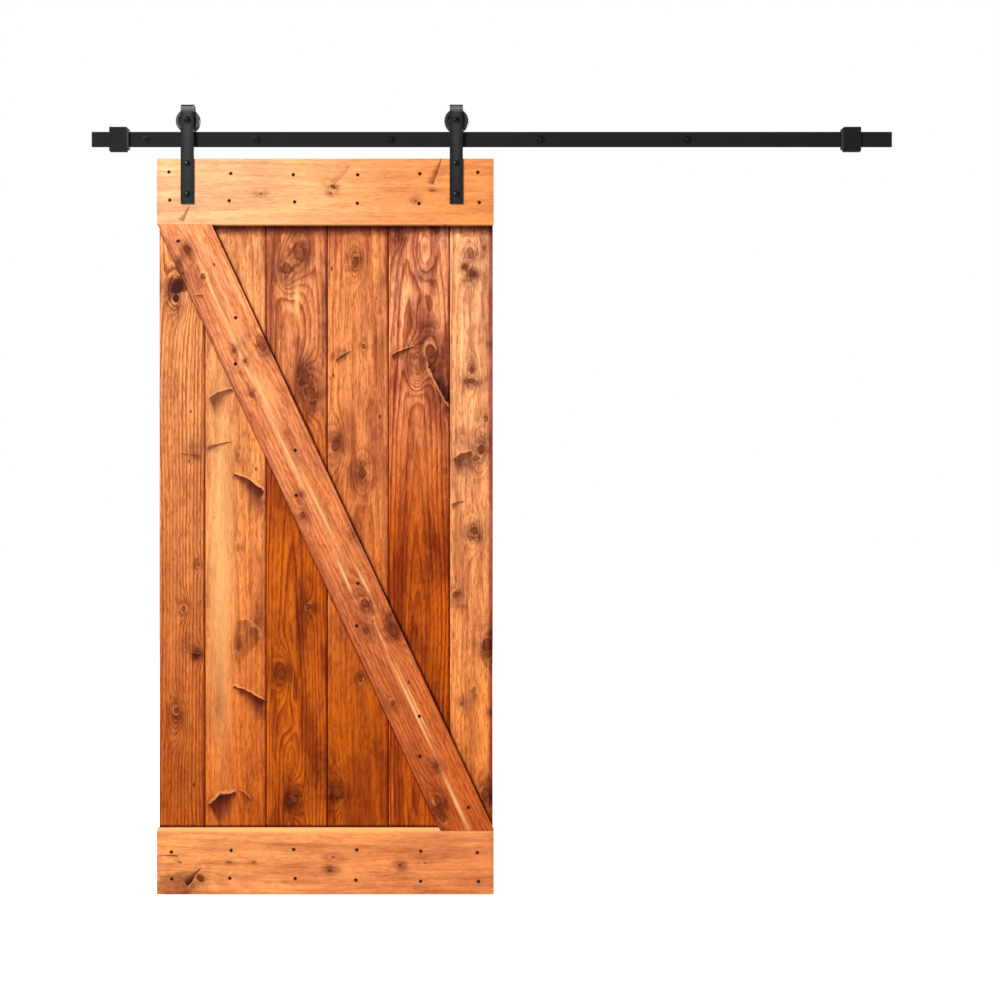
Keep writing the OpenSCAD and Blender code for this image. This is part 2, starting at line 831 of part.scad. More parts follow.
strap(right_hanger_x);  // right_strap
hanger_bolts(right_hanger_x);  // right_hanger_bolts
hanger_washers(right_hanger_x);  // right_hanger_washers
hanger_nuts(right_hanger_x);  // right_hanger_nuts
axle_bolt(right_hanger_x);  // right_axle_bolt
axle_spacers(right_hanger_x);  // right_axle_spacers
axle_nut(right_hanger_x);  // right_axle_nut
bearing_inner(right_hanger_x);  // right_bearing_inner
bearing_outer(right_hanger_x);  // right_bearing_outer
bearing_balls(right_hanger_x);  // right_bearing_balls
bearing_shields(right_hanger_x);  // right_bearing_shields
wheel(right_hanger_x);  // right_wheel
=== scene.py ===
# Looks of a sliding barn door: pine boards, powder-coated steel, nylon wheels, rubber.
# Everything is in metres, in the frame of the CAD model: X along the track, Y into the wall.
from math import atan2, cos, hypot, pi, radians, sin

import bpy
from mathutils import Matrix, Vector


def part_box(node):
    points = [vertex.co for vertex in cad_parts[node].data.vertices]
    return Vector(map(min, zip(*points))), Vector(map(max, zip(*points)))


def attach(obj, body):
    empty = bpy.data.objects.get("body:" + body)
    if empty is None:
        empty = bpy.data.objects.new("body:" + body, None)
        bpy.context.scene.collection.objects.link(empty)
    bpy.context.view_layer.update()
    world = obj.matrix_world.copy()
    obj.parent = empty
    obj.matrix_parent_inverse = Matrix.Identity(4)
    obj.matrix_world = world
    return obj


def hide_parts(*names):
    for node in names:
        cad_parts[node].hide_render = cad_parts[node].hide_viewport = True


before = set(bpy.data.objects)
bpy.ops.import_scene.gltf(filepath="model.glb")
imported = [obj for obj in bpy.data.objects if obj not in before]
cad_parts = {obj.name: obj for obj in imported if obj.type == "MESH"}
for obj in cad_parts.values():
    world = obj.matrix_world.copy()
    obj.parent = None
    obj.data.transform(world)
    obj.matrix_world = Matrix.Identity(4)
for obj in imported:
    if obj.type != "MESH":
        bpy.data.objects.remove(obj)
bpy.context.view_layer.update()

MM = 0.001

# ---------- places taken from the frame ----------

PLANKS = [f"plank_{k}" for k in range(1, 7)]
HANGERS = ["left", "right"]
WALL_BOLTS = [f"wall_bolt_{k}" for k in range(1, 6)]

rail_low, rail_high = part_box("bottom_rail")
top_low, top_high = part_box("top_rail")
door_left, door_right = rail_low.x, rail_high.x
door_foot, door_top = rail_low.z, top_high.z
front_y, panel_y = rail_low.y, rail_high.y
back_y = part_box("plank_1")[1].y
track_low, track_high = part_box("track")
door_middle = Vector(((door_left + door_right) / 2, 0, (top_low.z + rail_high.z) / 2))


def middle_of(node):
    low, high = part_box(node)
    return (low + high) / 2


# ---------- sizes of the details ----------

PLANK_BEVEL = 3.5 * MM
TONGUE_T, TONGUE_L, TONGUE_GAP = 6 * MM, 6 * MM, 0.3 * MM
BOARD_EASE = 1.5 * MM
RAIL_WEATHER = 10 * MM
BRACE_W, BRACE_INSET = 140 * MM, 79 * MM
SCREW_HEAD_R, SCREW_SHANK_R, COUNTERSINK = 4.1 * MM, 2 * MM, 2.5 * MM
HANGER_BOLT_R, BOLT_HOLE_R, STOP_SCREW_HOLE_R = 4 * MM, 4.4 * MM, 2.9 * MM
AXLE_R = 5 * MM
STRAP_T = 5 * MM


# ---------- modelling by hand ----------

def deselect():
    if bpy.context.mode != "OBJECT":
        bpy.ops.object.mode_set(mode="OBJECT")
    bpy.ops.object.select_all(action="DESELECT")


def only(piece):
    """Selects this piece alone and makes it the active one"""
    deselect()
    piece.select_set(True)
    bpy.context.view_layer.objects.active = piece


def settle(name):
    """Names the new piece and keeps its place in its mesh"""
    piece = bpy.context.object
    bpy.ops.object.transform_apply(location=True, rotation=True, scale=True)
    piece.name = piece.data.name = name
    return piece


def block(name, low, high, turn=0.0):
    """A block from corner to corner, turned about its own middle in the plane of the door"""
    deselect()
    low, high = Vector(low), Vector(high)
    bpy.ops.mesh.primitive_cube_add(
        size=1, location=(low + high) / 2, rotation=(0, turn, 0), scale=high - low)
    return settle(name)


def rod(name, start, length, radius, end_radius=None, sides=32):
    """A rod or cone that runs into the wall from its start"""
    deselect()
    bpy.ops.mesh.primitive_cone_add(
        vertices=sides, radius1=radius, radius2=radius if end_radius is None else end_radius,
        depth=length, location=Vector(start) + Vector((0, length / 2, 0)),
        rotation=(-pi / 2, 0, 0))
    return settle(name)


def edit(piece, kind="FACE", test=None):
    """Opens the piece with all of it selected, or only the faces or edges that pass"""
    only(piece)
    mesh = piece.data
    bpy.context.tool_settings.mesh_select_mode = (False, kind == "EDGE", kind == "FACE")
    for parts in (mesh.vertices, mesh.edges, mesh.polygons):
        parts.foreach_set("select", [False] * len(parts))
    for face in mesh.polygons if test and kind == "FACE" else ():
        face.select = test(face.center, face.normal)
    for edge in mesh.edges if test and kind == "EDGE" else ():
        a, b = (mesh.vertices[k].co for k in edge.vertices)
        edge.select = test((a + b) / 2, (b - a).normalized())
    bpy.ops.object.mode_set(mode="EDIT")
    if not test:
        bpy.ops.mesh.select_all(action="SELECT")


def near(a, b):
    return abs(a - b) < 1e-5


def ease(piece, test, width, segments=2, profile=0.5):
    """Bevels the edges that pass the test"""
    edit(piece, "EDGE", test)
    bpy.ops.mesh.bevel(offset=width, segments=segments, profile=profile, affect="EDGES")
    deselect()


def ease_all(piece, width, segments=2, angle=35):
    """Rounds every edge that is sharper than the angle"""
    only(piece)
    bevel = piece.modifiers.new("ease", "BEVEL")
    bevel.width, bevel.segments = width, segments
    bevel.limit_method, bevel.angle_limit = "ANGLE", radians(angle)
    bevel.use_clamp_overlap = True
    bpy.ops.object.modifier_apply(modifier=bevel.name)


def slice_across(piece, place, normal):
    """Cuts a line of new edges round the piece, in the plane at the place"""
    edit(piece)
    bpy.ops.mesh.bisect(plane_co=place, plane_no=normal)
    deselect()


def push(piece, test, step):
    """Extrudes the faces that pass the test by the step"""
    edit(piece, "FACE", test)
    bpy.ops.mesh.extrude_region_move(TRANSFORM_OT_translate={"value": step})
    deselect()


def combine(piece, tool, operation="DIFFERENCE"):
    """Cuts the tool out of the piece, or welds it on, and puts the tool away"""
    only(piece)
    boolean = piece.modifiers.new("combine", "BOOLEAN")
    boolean.operation, boolean.solver, boolean.object = operation, "EXACT", tool
    bpy.ops.object.modifier_apply(modifier=boolean.name)
    bpy.data.meshes.remove(tool.data)


def join(name, pieces):
    only(pieces[0])
    for piece in pieces[1:]:
        piece.select_set(True)
    bpy.ops.object.join()
    pieces[0].name = pieces[0].data.name = name
    return pieces[0]


def copy_of(piece, name, step):
    """A copy with its own mesh, moved by the step"""
    only(piece)
    bpy.ops.object.duplicate()
    twin = bpy.context.object
    twin.location = step
    return settle(name)


def smooth(piece, angle=35):
    """Smooth shading that keeps the sharp edges and leaves the large faces flat"""
    only(piece)
    bpy.ops.object.shade_smooth_by_angle(angle=radians(angle))
    weighted = piece.modifiers.new("flat faces", "WEIGHTED_NORMAL")
    weighted.keep_sharp = True
    bpy.ops.object.modifier_apply(modifier=weighted.name)


def rounded(corners, segments=4):
    """Outline through corners of (radius, y, rounding), each rounded corner a short curve"""
    outline = []
    for k, (radius, y, rounding) in enumerate(corners):
        here = Vector((radius, y))
        if rounding == 0:
            outline.append(here)
            continue
        before = Vector(corners[k - 1][:2])
        after = Vector(corners[(k + 1) % len(corners)][:2])
        a = here + (before - here).normalized() * rounding
        b = here + (after - here).normalized() * rounding
        for s in range(segments + 1):
            t = s / segments
            outline.append(a * (1 - t) ** 2 + here * 2 * t * (1 - t) + b * t ** 2)
    return outline


def drawn(name, start, steps):
    """A line of edges, drawn step by step from its start, left open and selected"""
    deselect()
    bpy.ops.mesh.primitive_plane_add(size=MM, location=start)
    piece = settle(name)
    bpy.context.tool_settings.mesh_select_mode = (True, False, False)
    bpy.ops.object.mode_set(mode="EDIT")
    bpy.ops.mesh.select_all(action="SELECT")
    bpy.ops.mesh.merge(type="CENTER")
    for step in steps:
        bpy.ops.mesh.extrude_vertices_move(TRANSFORM_OT_translate={"value": step})
    bpy.ops.mesh.select_all(action="SELECT")
    return piece


def turned(name, outline, axis, steps=48):
    """A piece turned about the line through axis that runs into the wall"""
    piece = drawn(name, Vector(axis) + Vector((outline[0][0], outline[0][1], 0)),
                  [(there[0] - here[0], there[1] - here[1], 0)
                   for here, there in zip(outline, outline[1:])])
    bpy.ops.mesh.spin(steps=steps, angle=2 * pi, center=axis, axis=(0, 1, 0))
    bpy.ops.mesh.select_all(action="SELECT")
    bpy.ops.mesh.remove_doubles(threshold=0.001 * MM)
    bpy.ops.mesh.normals_make_consistent(inside=False)
    deselect()
    return piece


# ---------- node trees ----------

class Tree:
    """Adds nodes to a node tree, and links or sets their sockets"""

    def __init__(self, tree):
        self.tree = tree

    def add(self, kind, inputs=None, **settings):
        node = self.tree.nodes.new("ShaderNode" + kind)
        for name, value in settings.items():
            setattr(node, name, value)
        for name, value in (inputs or {}).items():
            self.put(node.inputs[name], value)
        return node

    def put(self, socket, value):
        if isinstance(value, bpy.types.NodeSocket):
            self.tree.links.new(value, socket)
        else:
            socket.default_value = value

    def fill(self, node, values, out=0):
        """Puts the values on the node's inputs in turn, and gives one of its outputs"""
        for socket, value in zip(node.inputs, values):
            self.put(socket, value)
        return node.outputs[out]

    def math(self, operation, *values, clamp=False):
        return self.fill(self.add("Math", operation=operation, use_clamp=clamp), values)

    def times(self, a, b):
        return self.math("MULTIPLY", a, b)

    def over(self, a, b):
        return self.math("DIVIDE", a, b)

    def plus(self, a, b):
        return self.math("ADD", a, b)

    def minus(self, a, b):
        return self.math("SUBTRACT", a, b)

    def times_plus(self, a, b, c, clamp=False):
        """a times b, plus c"""
        return self.math("MULTIPLY_ADD", a, b, c, clamp=clamp)

    def bell(self, square):
        """1 in the middle, falling away as the square of the distance grows"""
        return self.math("EXPONENT", self.times(-1.0, square))

    def ramp(self, value, start, end, low=0.0, high=1.0):
        """Smooth step of the value from low at start to high at end"""
        return self.fill(self.add("MapRange", interpolation_type="SMOOTHSTEP"),
                         (value, start, end, low, high))

    def fall(self, value, start, end):
        """Smooth step of the value from 1 at start to 0 at end"""
        return self.ramp(value, start, end, 1.0, 0.0)

    def vector(self, operation, *values, out="Vector"):
        return self.fill(self.add("VectorMath", operation=operation), values, out)

    def stretched(self, vector, *factors):
        return self.vector("MULTIPLY", vector, factors)

    def scaled(self, vector, factor):
        node = self.add("VectorMath", {"Vector": vector, "Scale": factor}, operation="SCALE")
        return node.outputs["Vector"]

    def tilted(self, vector, angle):
        """The parts of the vector, turned in the plane of the door"""
        return self.split(self.add("VectorRotate", {"Vector": vector, "Angle": angle},
                                   rotation_type="Y_AXIS").outputs[0])

    def at(self, **parts):
        return self.add("CombineXYZ", parts).outputs[0]

    def split(self, vector):
        return self.add("SeparateXYZ", {"Vector": vector}).outputs

    def blend(self, factor, a, b, how="MIX"):
        node = self.add("Mix", data_type="RGBA", blend_type=how, clamp_factor=True)
        for socket, value in zip((node.inputs[0], node.inputs[6], node.inputs[7]),
                                 (factor, a, b)):
            self.put(socket, value)
        return node.outputs[2]

    def noise(self, vector, scale, detail=2.0, roughness=0.5, out="Fac"):
        return self.add("TexNoise", {"Vector": vector, "Scale": scale, "Detail": detail,
                                     "Roughness": roughness}).outputs[out]

    def use(self, group, **inputs):
        node = self.add("Group", node_tree=group)
        for name, value in inputs.items():
            self.put(node.inputs[name.replace("_", " ")], value)
        return node.outputs

    def bumped(self, strength, height, relief):
        return self.add("Bump", {"Strength": strength, "Distance": height,
                                 "Height": relief}).outputs[0]

    def finish(self, colour, roughness, normal, **constants):
        """The shader of a material, with constants of its own"""
        shader = self.add("BsdfPrincipled", {"Base Color": colour, "Roughness": roughness,
                                             "Normal": normal})
        for name, value in constants.items():
            shader.inputs[name.replace("_", " ")].default_value = value
        self.put(self.add("OutputMaterial").inputs["Surface"], shader.outputs[0])


def node_group(name, vectors, values, inside):
    """A node group with these vector and value inputs. Inside builds its nodes from them and
    gives its outputs by name."""
    group = bpy.data.node_groups.new(name, "ShaderNodeTree")
    for kind, labels in (("NodeSocketVector", vectors), ("NodeSocketFloat", values)):
        for label in labels:
            group.interface.new_socket(name=label, in_out="INPUT", socket_type=kind)
    source = group.nodes.new("NodeGroupInput").outputs
    result = group.nodes.new("NodeGroupOutput").inputs
    outputs = inside(Tree(group), source)
    for label, value in outputs.items():
        kind = "NodeSocketVector" if value.type == "VECTOR" else "NodeSocketFloat"
        group.interface.new_socket(name=label, in_out="OUTPUT", socket_type=kind)
    for label, value in outputs.items():
        group.links.new(value, result[label])
    return group


def new_material(name):
    material = bpy.data.materials.new(name)
    material.use_nodes = True
    material.node_tree.nodes.clear()
    return material, Tree(material.node_tree)


def paint(red, green, blue):
    """A colour as seen on a paint card, 0 to 255 a channel, as the shader takes it"""
    def channel(c):
        c = c / 255
        return c / 12.92 if c <= 0.04045 else ((c + 0.055) / 1.055) ** 2.4
    return (channel(red), channel(green), channel(blue), 1.0)


# ---------- pine: groups that every board uses ----------

def growth_rings(t, source):
    """Rings round the tree's heart, as a board sawn along the trunk shows them. Each ring
    starts with a pale line and darkens to its late wood."""
    tree = t.times(source["Tree"], 7.31)
    moved = t.vector("ADD", source["Place"], t.at(X=tree, Z=tree))
    slow = t.noise(t.stretched(moved, 5.0, 5.0, 1.6), 1.0, 1.5, out="Color")
    sway = t.split(t.scaled(t.vector("SUBTRACT", slow, (0.5, 0.5, 0.5)), source["Wander"]))
    place = t.split(source["Place"])
    across = t.plus(t.minus(place[0], source["Heart Across"]), sway[0])
    rise = t.times(place[2], source["Taper"])
    depth = t.plus(t.plus(place[1], source["Heart Depth"]), t.plus(rise, sway[1]))
    radius = t.math("SQRT", t.plus(t.times(across, across), t.times(depth, depth)))
    ripple = t.noise(t.stretched(moved, 45.0, 45.0, 4.0), 1.0, 2.0)
    count = t.plus(t.over(radius, source["Ring Width"]),
                   t.times_plus(ripple, 0.8, source["Bulge"]))
    part = t.math("FRACT", count)
    number = t.plus(t.math("FLOOR", count), tree)
    tone = t.add("TexWhiteNoise", {"W": number}, noise_dimensions="1D").outputs["Value"]
    strength = t.times_plus(tone, 0.6, 0.4)
    late = t.times(t.ramp(part, 0.40, 0.85), t.fall(part, 0.93, 1.0))
    pale = t.times(t.ramp(part, 0.0, 0.08), t.fall(part, 0.14, 0.42))
    return {"Late Wood": t.times(late, strength), "Pale Line": t.times(pale, strength)}


def knot(t, source):
    """One knot. It bends the grain round itself and adds rings of its own. Nearest holds the
    distance to the nearest knot so far in knot sizes, how dark that one is, and the rings
    that all of them have added."""
    size = source["Size"]
    offset = t.vector("SUBTRACT", source["Place"], source["Centre"])
    tilted = t.tilted(offset, source["Tilt"])
    flat = t.at(X=t.over(tilted[0], size),
                Z=t.over(tilted[2], t.times(size, source["Stretch"])))
    distance = t.times_plus(source["Ragged"], 0.6, t.vector("LENGTH", flat, out="Value"))
    reach = t.scaled(t.stretched(offset, 0.45, 0.0, 0.17), t.over(1.0, size))
    swell = t.bell(t.vector("DOT_PRODUCT", reach, reach, out="Value"))
    before = t.split(source["Nearest"])
    nearer = t.math("LESS_THAN", distance, before[0])
    darkness = t.times_plus(nearer, t.minus(source["Depth"], before[1]), before[1])
    nearest = t.at(X=t.math("MINIMUM", distance, before[0]), Y=darkness,
                   Z=t.times_plus(swell, source["Rings"], before[2]))
    bend = t.times(t.times(swell, -0.45), t.split(offset)[0])
    return {"Nearest": nearest, "Place": t.vector("ADD", source["Place"], t.at(X=bend))}


def knot_masks(t, source):
    """Core, broken rim, pale halo, stained grain and inner rings of the nearest knot"""
    nearest = t.split(source["Nearest"])
    distance, depth = nearest[0], nearest[1]
    core = t.times(t.fall(distance, 0.8, 1.0), depth)
    rim = t.times(t.ramp(distance, 0.70, 0.95), t.fall(distance, 1.0, 1.2))
    halo = t.times(t.ramp(distance, 1.05, 1.3), t.fall(distance, 1.4, 2.1))
    rim = t.times(rim, t.ramp(source["Ragged"], -0.16, 0.04, 0.25, 1.0))
    halo = t.times(halo, t.ramp(source["Ragged"], -0.04, 0.12, 1.0, 0.1))
    spread = t.times(distance, 0.29)
    fade = t.bell(t.times(spread, spread))
    patchy = t.times(source["Patchy"], depth)
    return {
        "Core": core, "Rim": t.times(rim, depth),
        "Halo": t.times(halo, t.minus(depth, patchy)), "Shade": t.times(fade, patchy),
        "Eye": t.plus(t.times(core, t.math("FRACT", t.times(distance, 2.3))),
                      t.ramp(depth, 1.0, 1.3))}


def spike_knot(t, source):
    """One knot sawn along its length: a pale ridge over a dark hollow that widens to one
    end; the hollow is the knot's dark wood with painted shade in its dip. So Far holds the hollow
    and the ridge of all of them."""
    offset = t.vector("SUBTRACT", source["Place"], source["Centre"])
    tilted = t.tilted(offset, source["Tilt"])
    along = t.over(tilted[0], source["Length"])
    fall = t.over(tilted[2], source["Drop"])
    fall = t.times_plus(source["Ragged"], 0.5, fall)
    fall = t.times_plus(t.times(along, along), 0.25, fall)
    wide = t.math("MAXIMUM", t.times_plus(along, 0.70, 0.90), 0.10)
    ends = t.times(t.fall(t.math("ABSOLUTE", along), 0.85, 1.0), source["Depth"])
    below = t.over(fall, wide)
    hollow = t.times(t.ramp(below, -1.6, -0.25), t.fall(fall, 0.0, 0.10))
    ridge = t.times(t.ramp(fall, 0.0, 0.12), t.fall(fall, 0.14, 0.30))
    before = t.split(source["So Far"])
    hollow = t.math("MAXIMUM", before[0], t.times(hollow, ends))
    ridge = t.math("MAXIMUM", before[1], t.times(ridge, ends))
    so_far = t.at(X=hollow, Y=ridge)
    dip = t.times(t.times(hollow, -0.3), source["Drop"])
    return {"So Far": so_far, "Place": t.vector("ADD", source["Place"], t.at(Z=dip))}


def soft_patch(t, source):
    """A soft patch, drawn out along the grain, So Far with those before it"""
    place = t.split(t.vector("SUBTRACT", source["Place"], source["Centre"]))
    across = t.over(place[0], source["Size"])
    along = t.over(place[2], t.times(source["Size"], source["Stretch"]))
    away = t.times_plus(across, across, t.times(along, along))
    patch = t.times(t.bell(away), source["Depth"])
    return {"So Far": t.math("MAXIMUM", source["So Far"], patch)}


def pine_fibres(t, source):
    """Fine fibres along the grain, longer streaks, small mottles and slow stains"""
    tree = t.times(source["Tree"], 3.7)
    moved = t.vector("ADD", source["Place"], t.at(X=tree, Y=tree))

    def spots(across, along, detail, roughness):
        return t.noise(t.stretched(moved, across, across, along), 1.0, detail, roughness)

    marks = {"Fine": spots(900.0, 22.0, 3.0, 0.6), "Streak": spots(170.0, 3.5, 3.0, 0.65),
             "Mottle": spots(260.0, 45.0, 3.0, 0.6), "Stain": spots(22.0, 4.0, 4.0, 0.6),
             "Pores": t.fall(spots(1500.0, 90.0, 1.0, 0.5), 0.30, 0.40)}
    cells = t.add("TexVoronoi", {"Vector": t.stretched(moved, 15.0, 0.0, 9.0), "Scale": 1.0},
                  voronoi_dimensions="3D").outputs
    chosen = t.math("GREATER_THAN", t.split(cells["Color"])[0], 0.62)
    marks["Pin Knots"] = t.times(chosen, t.fall(cells["Distance"], 0.035, 0.075))
    return marks


def board_edges(t, source):
    """Painted shade along one edge and the ends of a board, partly stain, and a painted highlight
    along its lit edge on the other side. A negative Half Width swaps the two sides."""
    place = t.split(source["Place"])
    ragged = t.times(t.noise(source["Place"], 45.0, 3.0), 3 * MM)
    half = t.math("ABSOLUTE", source["Half Width"])
    across = t.times(place[0], t.math("SIGN", source["Half Width"]))
    dark = t.plus(t.minus(half, across), ragged)
    lit_band = t.plus(t.plus(half, across), ragged)
    ends = t.plus(t.minus(source["Half Length"], t.math("ABSOLUTE", place[2])), ragged)
    return {"Dark": t.fall(t.math("MINIMUM", dark, ends), 8 * MM, 18 * MM),
            "Lit Edge": t.fall(lit_band, 3.5 * MM, 6 * MM)}


def inside_corner(t, source):
    """Distance to the nearest corner in which another board's side meets this face, counted
    in the reach of its painted shade, so far"""
    away = t.vector("DOT_PRODUCT", t.vector("SUBTRACT", source["Place"], source["On Line"]),
                    source["Across"], out="Value")
    return {"So Far": t.math("MINIMUM", source["So Far"], t.over(
        t.math("ABSOLUTE", away), source["Reach"]))}


def nearest_screw(t, source):
    """Distance to the nearest screw so far. It travels as the depth of the place."""
    flat = t.stretched(t.vector("SUBTRACT", source["Place"], source["Centre"]), 1.0, 0.0, 1.0)
    place = t.split(source["Place"])
    return {"Place": t.at(X=place[0], Z=place[2], Y=t.math(
        "MINIMUM", place[1], t.vector("LENGTH", flat, out="Value")))}


RINGS = node_group(
    "growth rings", ["Place"],
    ["Heart Across", "Heart Depth", "Taper", "Ring Width", "Wander", "Tree", "Bulge"],
    growth_rings)
KNOT = node_group("knot", ["Place", "Nearest", "Centre"],
                  ["Ragged", "Size", "Stretch", "Tilt", "Depth", "Rings"], knot)
KNOT_MASKS = node_group("knot masks", ["Nearest"], ["Patchy", "Ragged"], knot_masks)
SPIKE = node_group("spike knot", ["Place", "So Far", "Centre"],
                   ["Ragged", "Length", "Drop", "Tilt", "Depth"], spike_knot)
PATCH = node_group("soft patch", ["Place", "Centre"], ["Size", "Stretch", "Depth", "So Far"],
                   soft_patch)
FIBRES = node_group("pine fibres", ["Place"], ["Tree"], pine_fibres)
EDGES = node_group("board edges", ["Place"], ["Half Width", "Half Length"], board_edges)
INSIDE_CORNER = node_group("inside corner", ["Place", "On Line", "Across"],
                           ["Reach", "So Far"], inside_corner)
NEAREST_SCREW = node_group("nearest screw", ["Place", "Centre"], [], nearest_screw)

# Tints multiply the colour under them
LATE_TINT = (0.50, 0.27, 0.14, 1.0)
PALE_TINT = (1.22, 1.30, 1.22, 1.0)
STAIN_TINT = (0.48, 0.30, 0.32, 1.0)
LIGHT_TINT = (1.14, 1.16, 1.08, 1.0)
KNOT_TINT = (0.34, 0.20, 0.22, 1.0)
SMOKE_TINT = (0.27, 0.17, 0.27, 1.0)
# The edge tint is painted shade, partly stain gathered at the edge; the lit edge tint is a painted
# highlight
EDGE_STAIN_AND_SHADE_TINT = (0.40, 0.20, 0.32, 1.0)
LIT_EDGE_TINT = (1.22, 1.24, 1.00, 1.0)
# The corner tint is painted shade in the inside corners that other boards make
CORNER_SHADE_TINT = (0.16, 0.07, 0.08, 1.0)
# The hollow tint is the spike knots' dark wood with painted shade in their dip
HOLLOW_SHADE_TINT = (0.24, 0.12, 0.16, 1.0)
# Paints lie over it, each as strongly as its share says
FIBRE_SHADOW, FIBRE_SHARE = (0.10, 0.030, 0.010, 1.0), 0.22
# Pale sapwood streaks; on the rails the same paint is a painted highlight along the lit edge
SAPWOOD_AND_EDGE_HIGHLIGHT, SAPWOOD_AND_HIGHLIGHT_SHARE = paint(255, 196, 126), 0.8
HALO_SHARE, CORE_SHARE, RIM_SHARE, RIDGE_SHARE = 0.35, 0.9, 0.85, 0.5
KNOT_CORE = paint(146, 66, 24)
KNOT_RIM = paint(62, 22, 8)
RIDGE = paint(246, 164, 98)
LIT_EDGE_SHARE = 0.9
# So many knot sizes away that a knot does not show
FAR = 9.0


def bent_grain(t, board, ragged, knots, spikes):
    """The board's places as its grain runs round the knots and the spike knots, with the
    nearest knot and what the spike knots leave there"""
    place, nearest, so_far = board, (FAR, 0.0, 0.0), (0.0, 0.0, 0.0)
    for across, along, size, stretch, tilt, depth, rings in knots:
        step = t.use(KNOT, Place=place, Nearest=nearest, Ragged=ragged if depth else FAR,
                     Centre=(across, 0, along), Size=size, Stretch=stretch,
                     Tilt=radians(tilt), Depth=depth, Rings=rings)
        place, nearest = step["Place"], step["Nearest"]
    for across, along, length, drop, tilt, depth in spikes:
        step = t.use(SPIKE, Place=place, So_Far=so_far, Ragged=ragged,
                     Centre=(across, 0, along), Length=length, Drop=drop,
                     Tilt=radians(tilt), Depth=depth)
        place, so_far = step["Place"], step["So Far"]
    return place, nearest, so_far


def soft_patches(t, place, patches):
    """How strongly these patches cover the wood"""
    covered = 0.0
    for across, along, size, stretch, depth in patches:
        covered = t.use(PATCH, Place=place, Centre=(across, 0, along), Size=size,
                        Stretch=stretch, Depth=depth, So_Far=covered)["So Far"]
    return covered


def screw_stains(t, world, screws):
    """A dark ring in the wood round each screw"""
    travelling = t.vector("ADD", t.stretched(world, 1.0, 0.0, 1.0), (0, 1.0, 0))
    for screw in screws:
        travelling = t.use(NEAREST_SCREW, Place=travelling, Centre=screw)["Place"]
    return t.ramp(t.split(travelling)[1], 4.5 * MM, 7 * MM, 0.85, 0.0)


def corner_painted_shade(t, world, board, ragged, corners):
    """Painted shade in the corners that other boards make with the front of this one"""
    gap = FAR
    for on_line, normal, reach in corners:
        gap = t.use(INSIDE_CORNER, Place=world, On_Line=on_line, Across=normal,
                    Reach=reach, So_Far=gap)["So Far"]
    gap = t.times_plus(ragged, 0.5, gap)
    front = t.fall(t.split(board)[1], -6 * MM, -3 * MM)
    return t.times(t.ramp(gap, 0.25, 1.0, 0.93, 0.0), front)


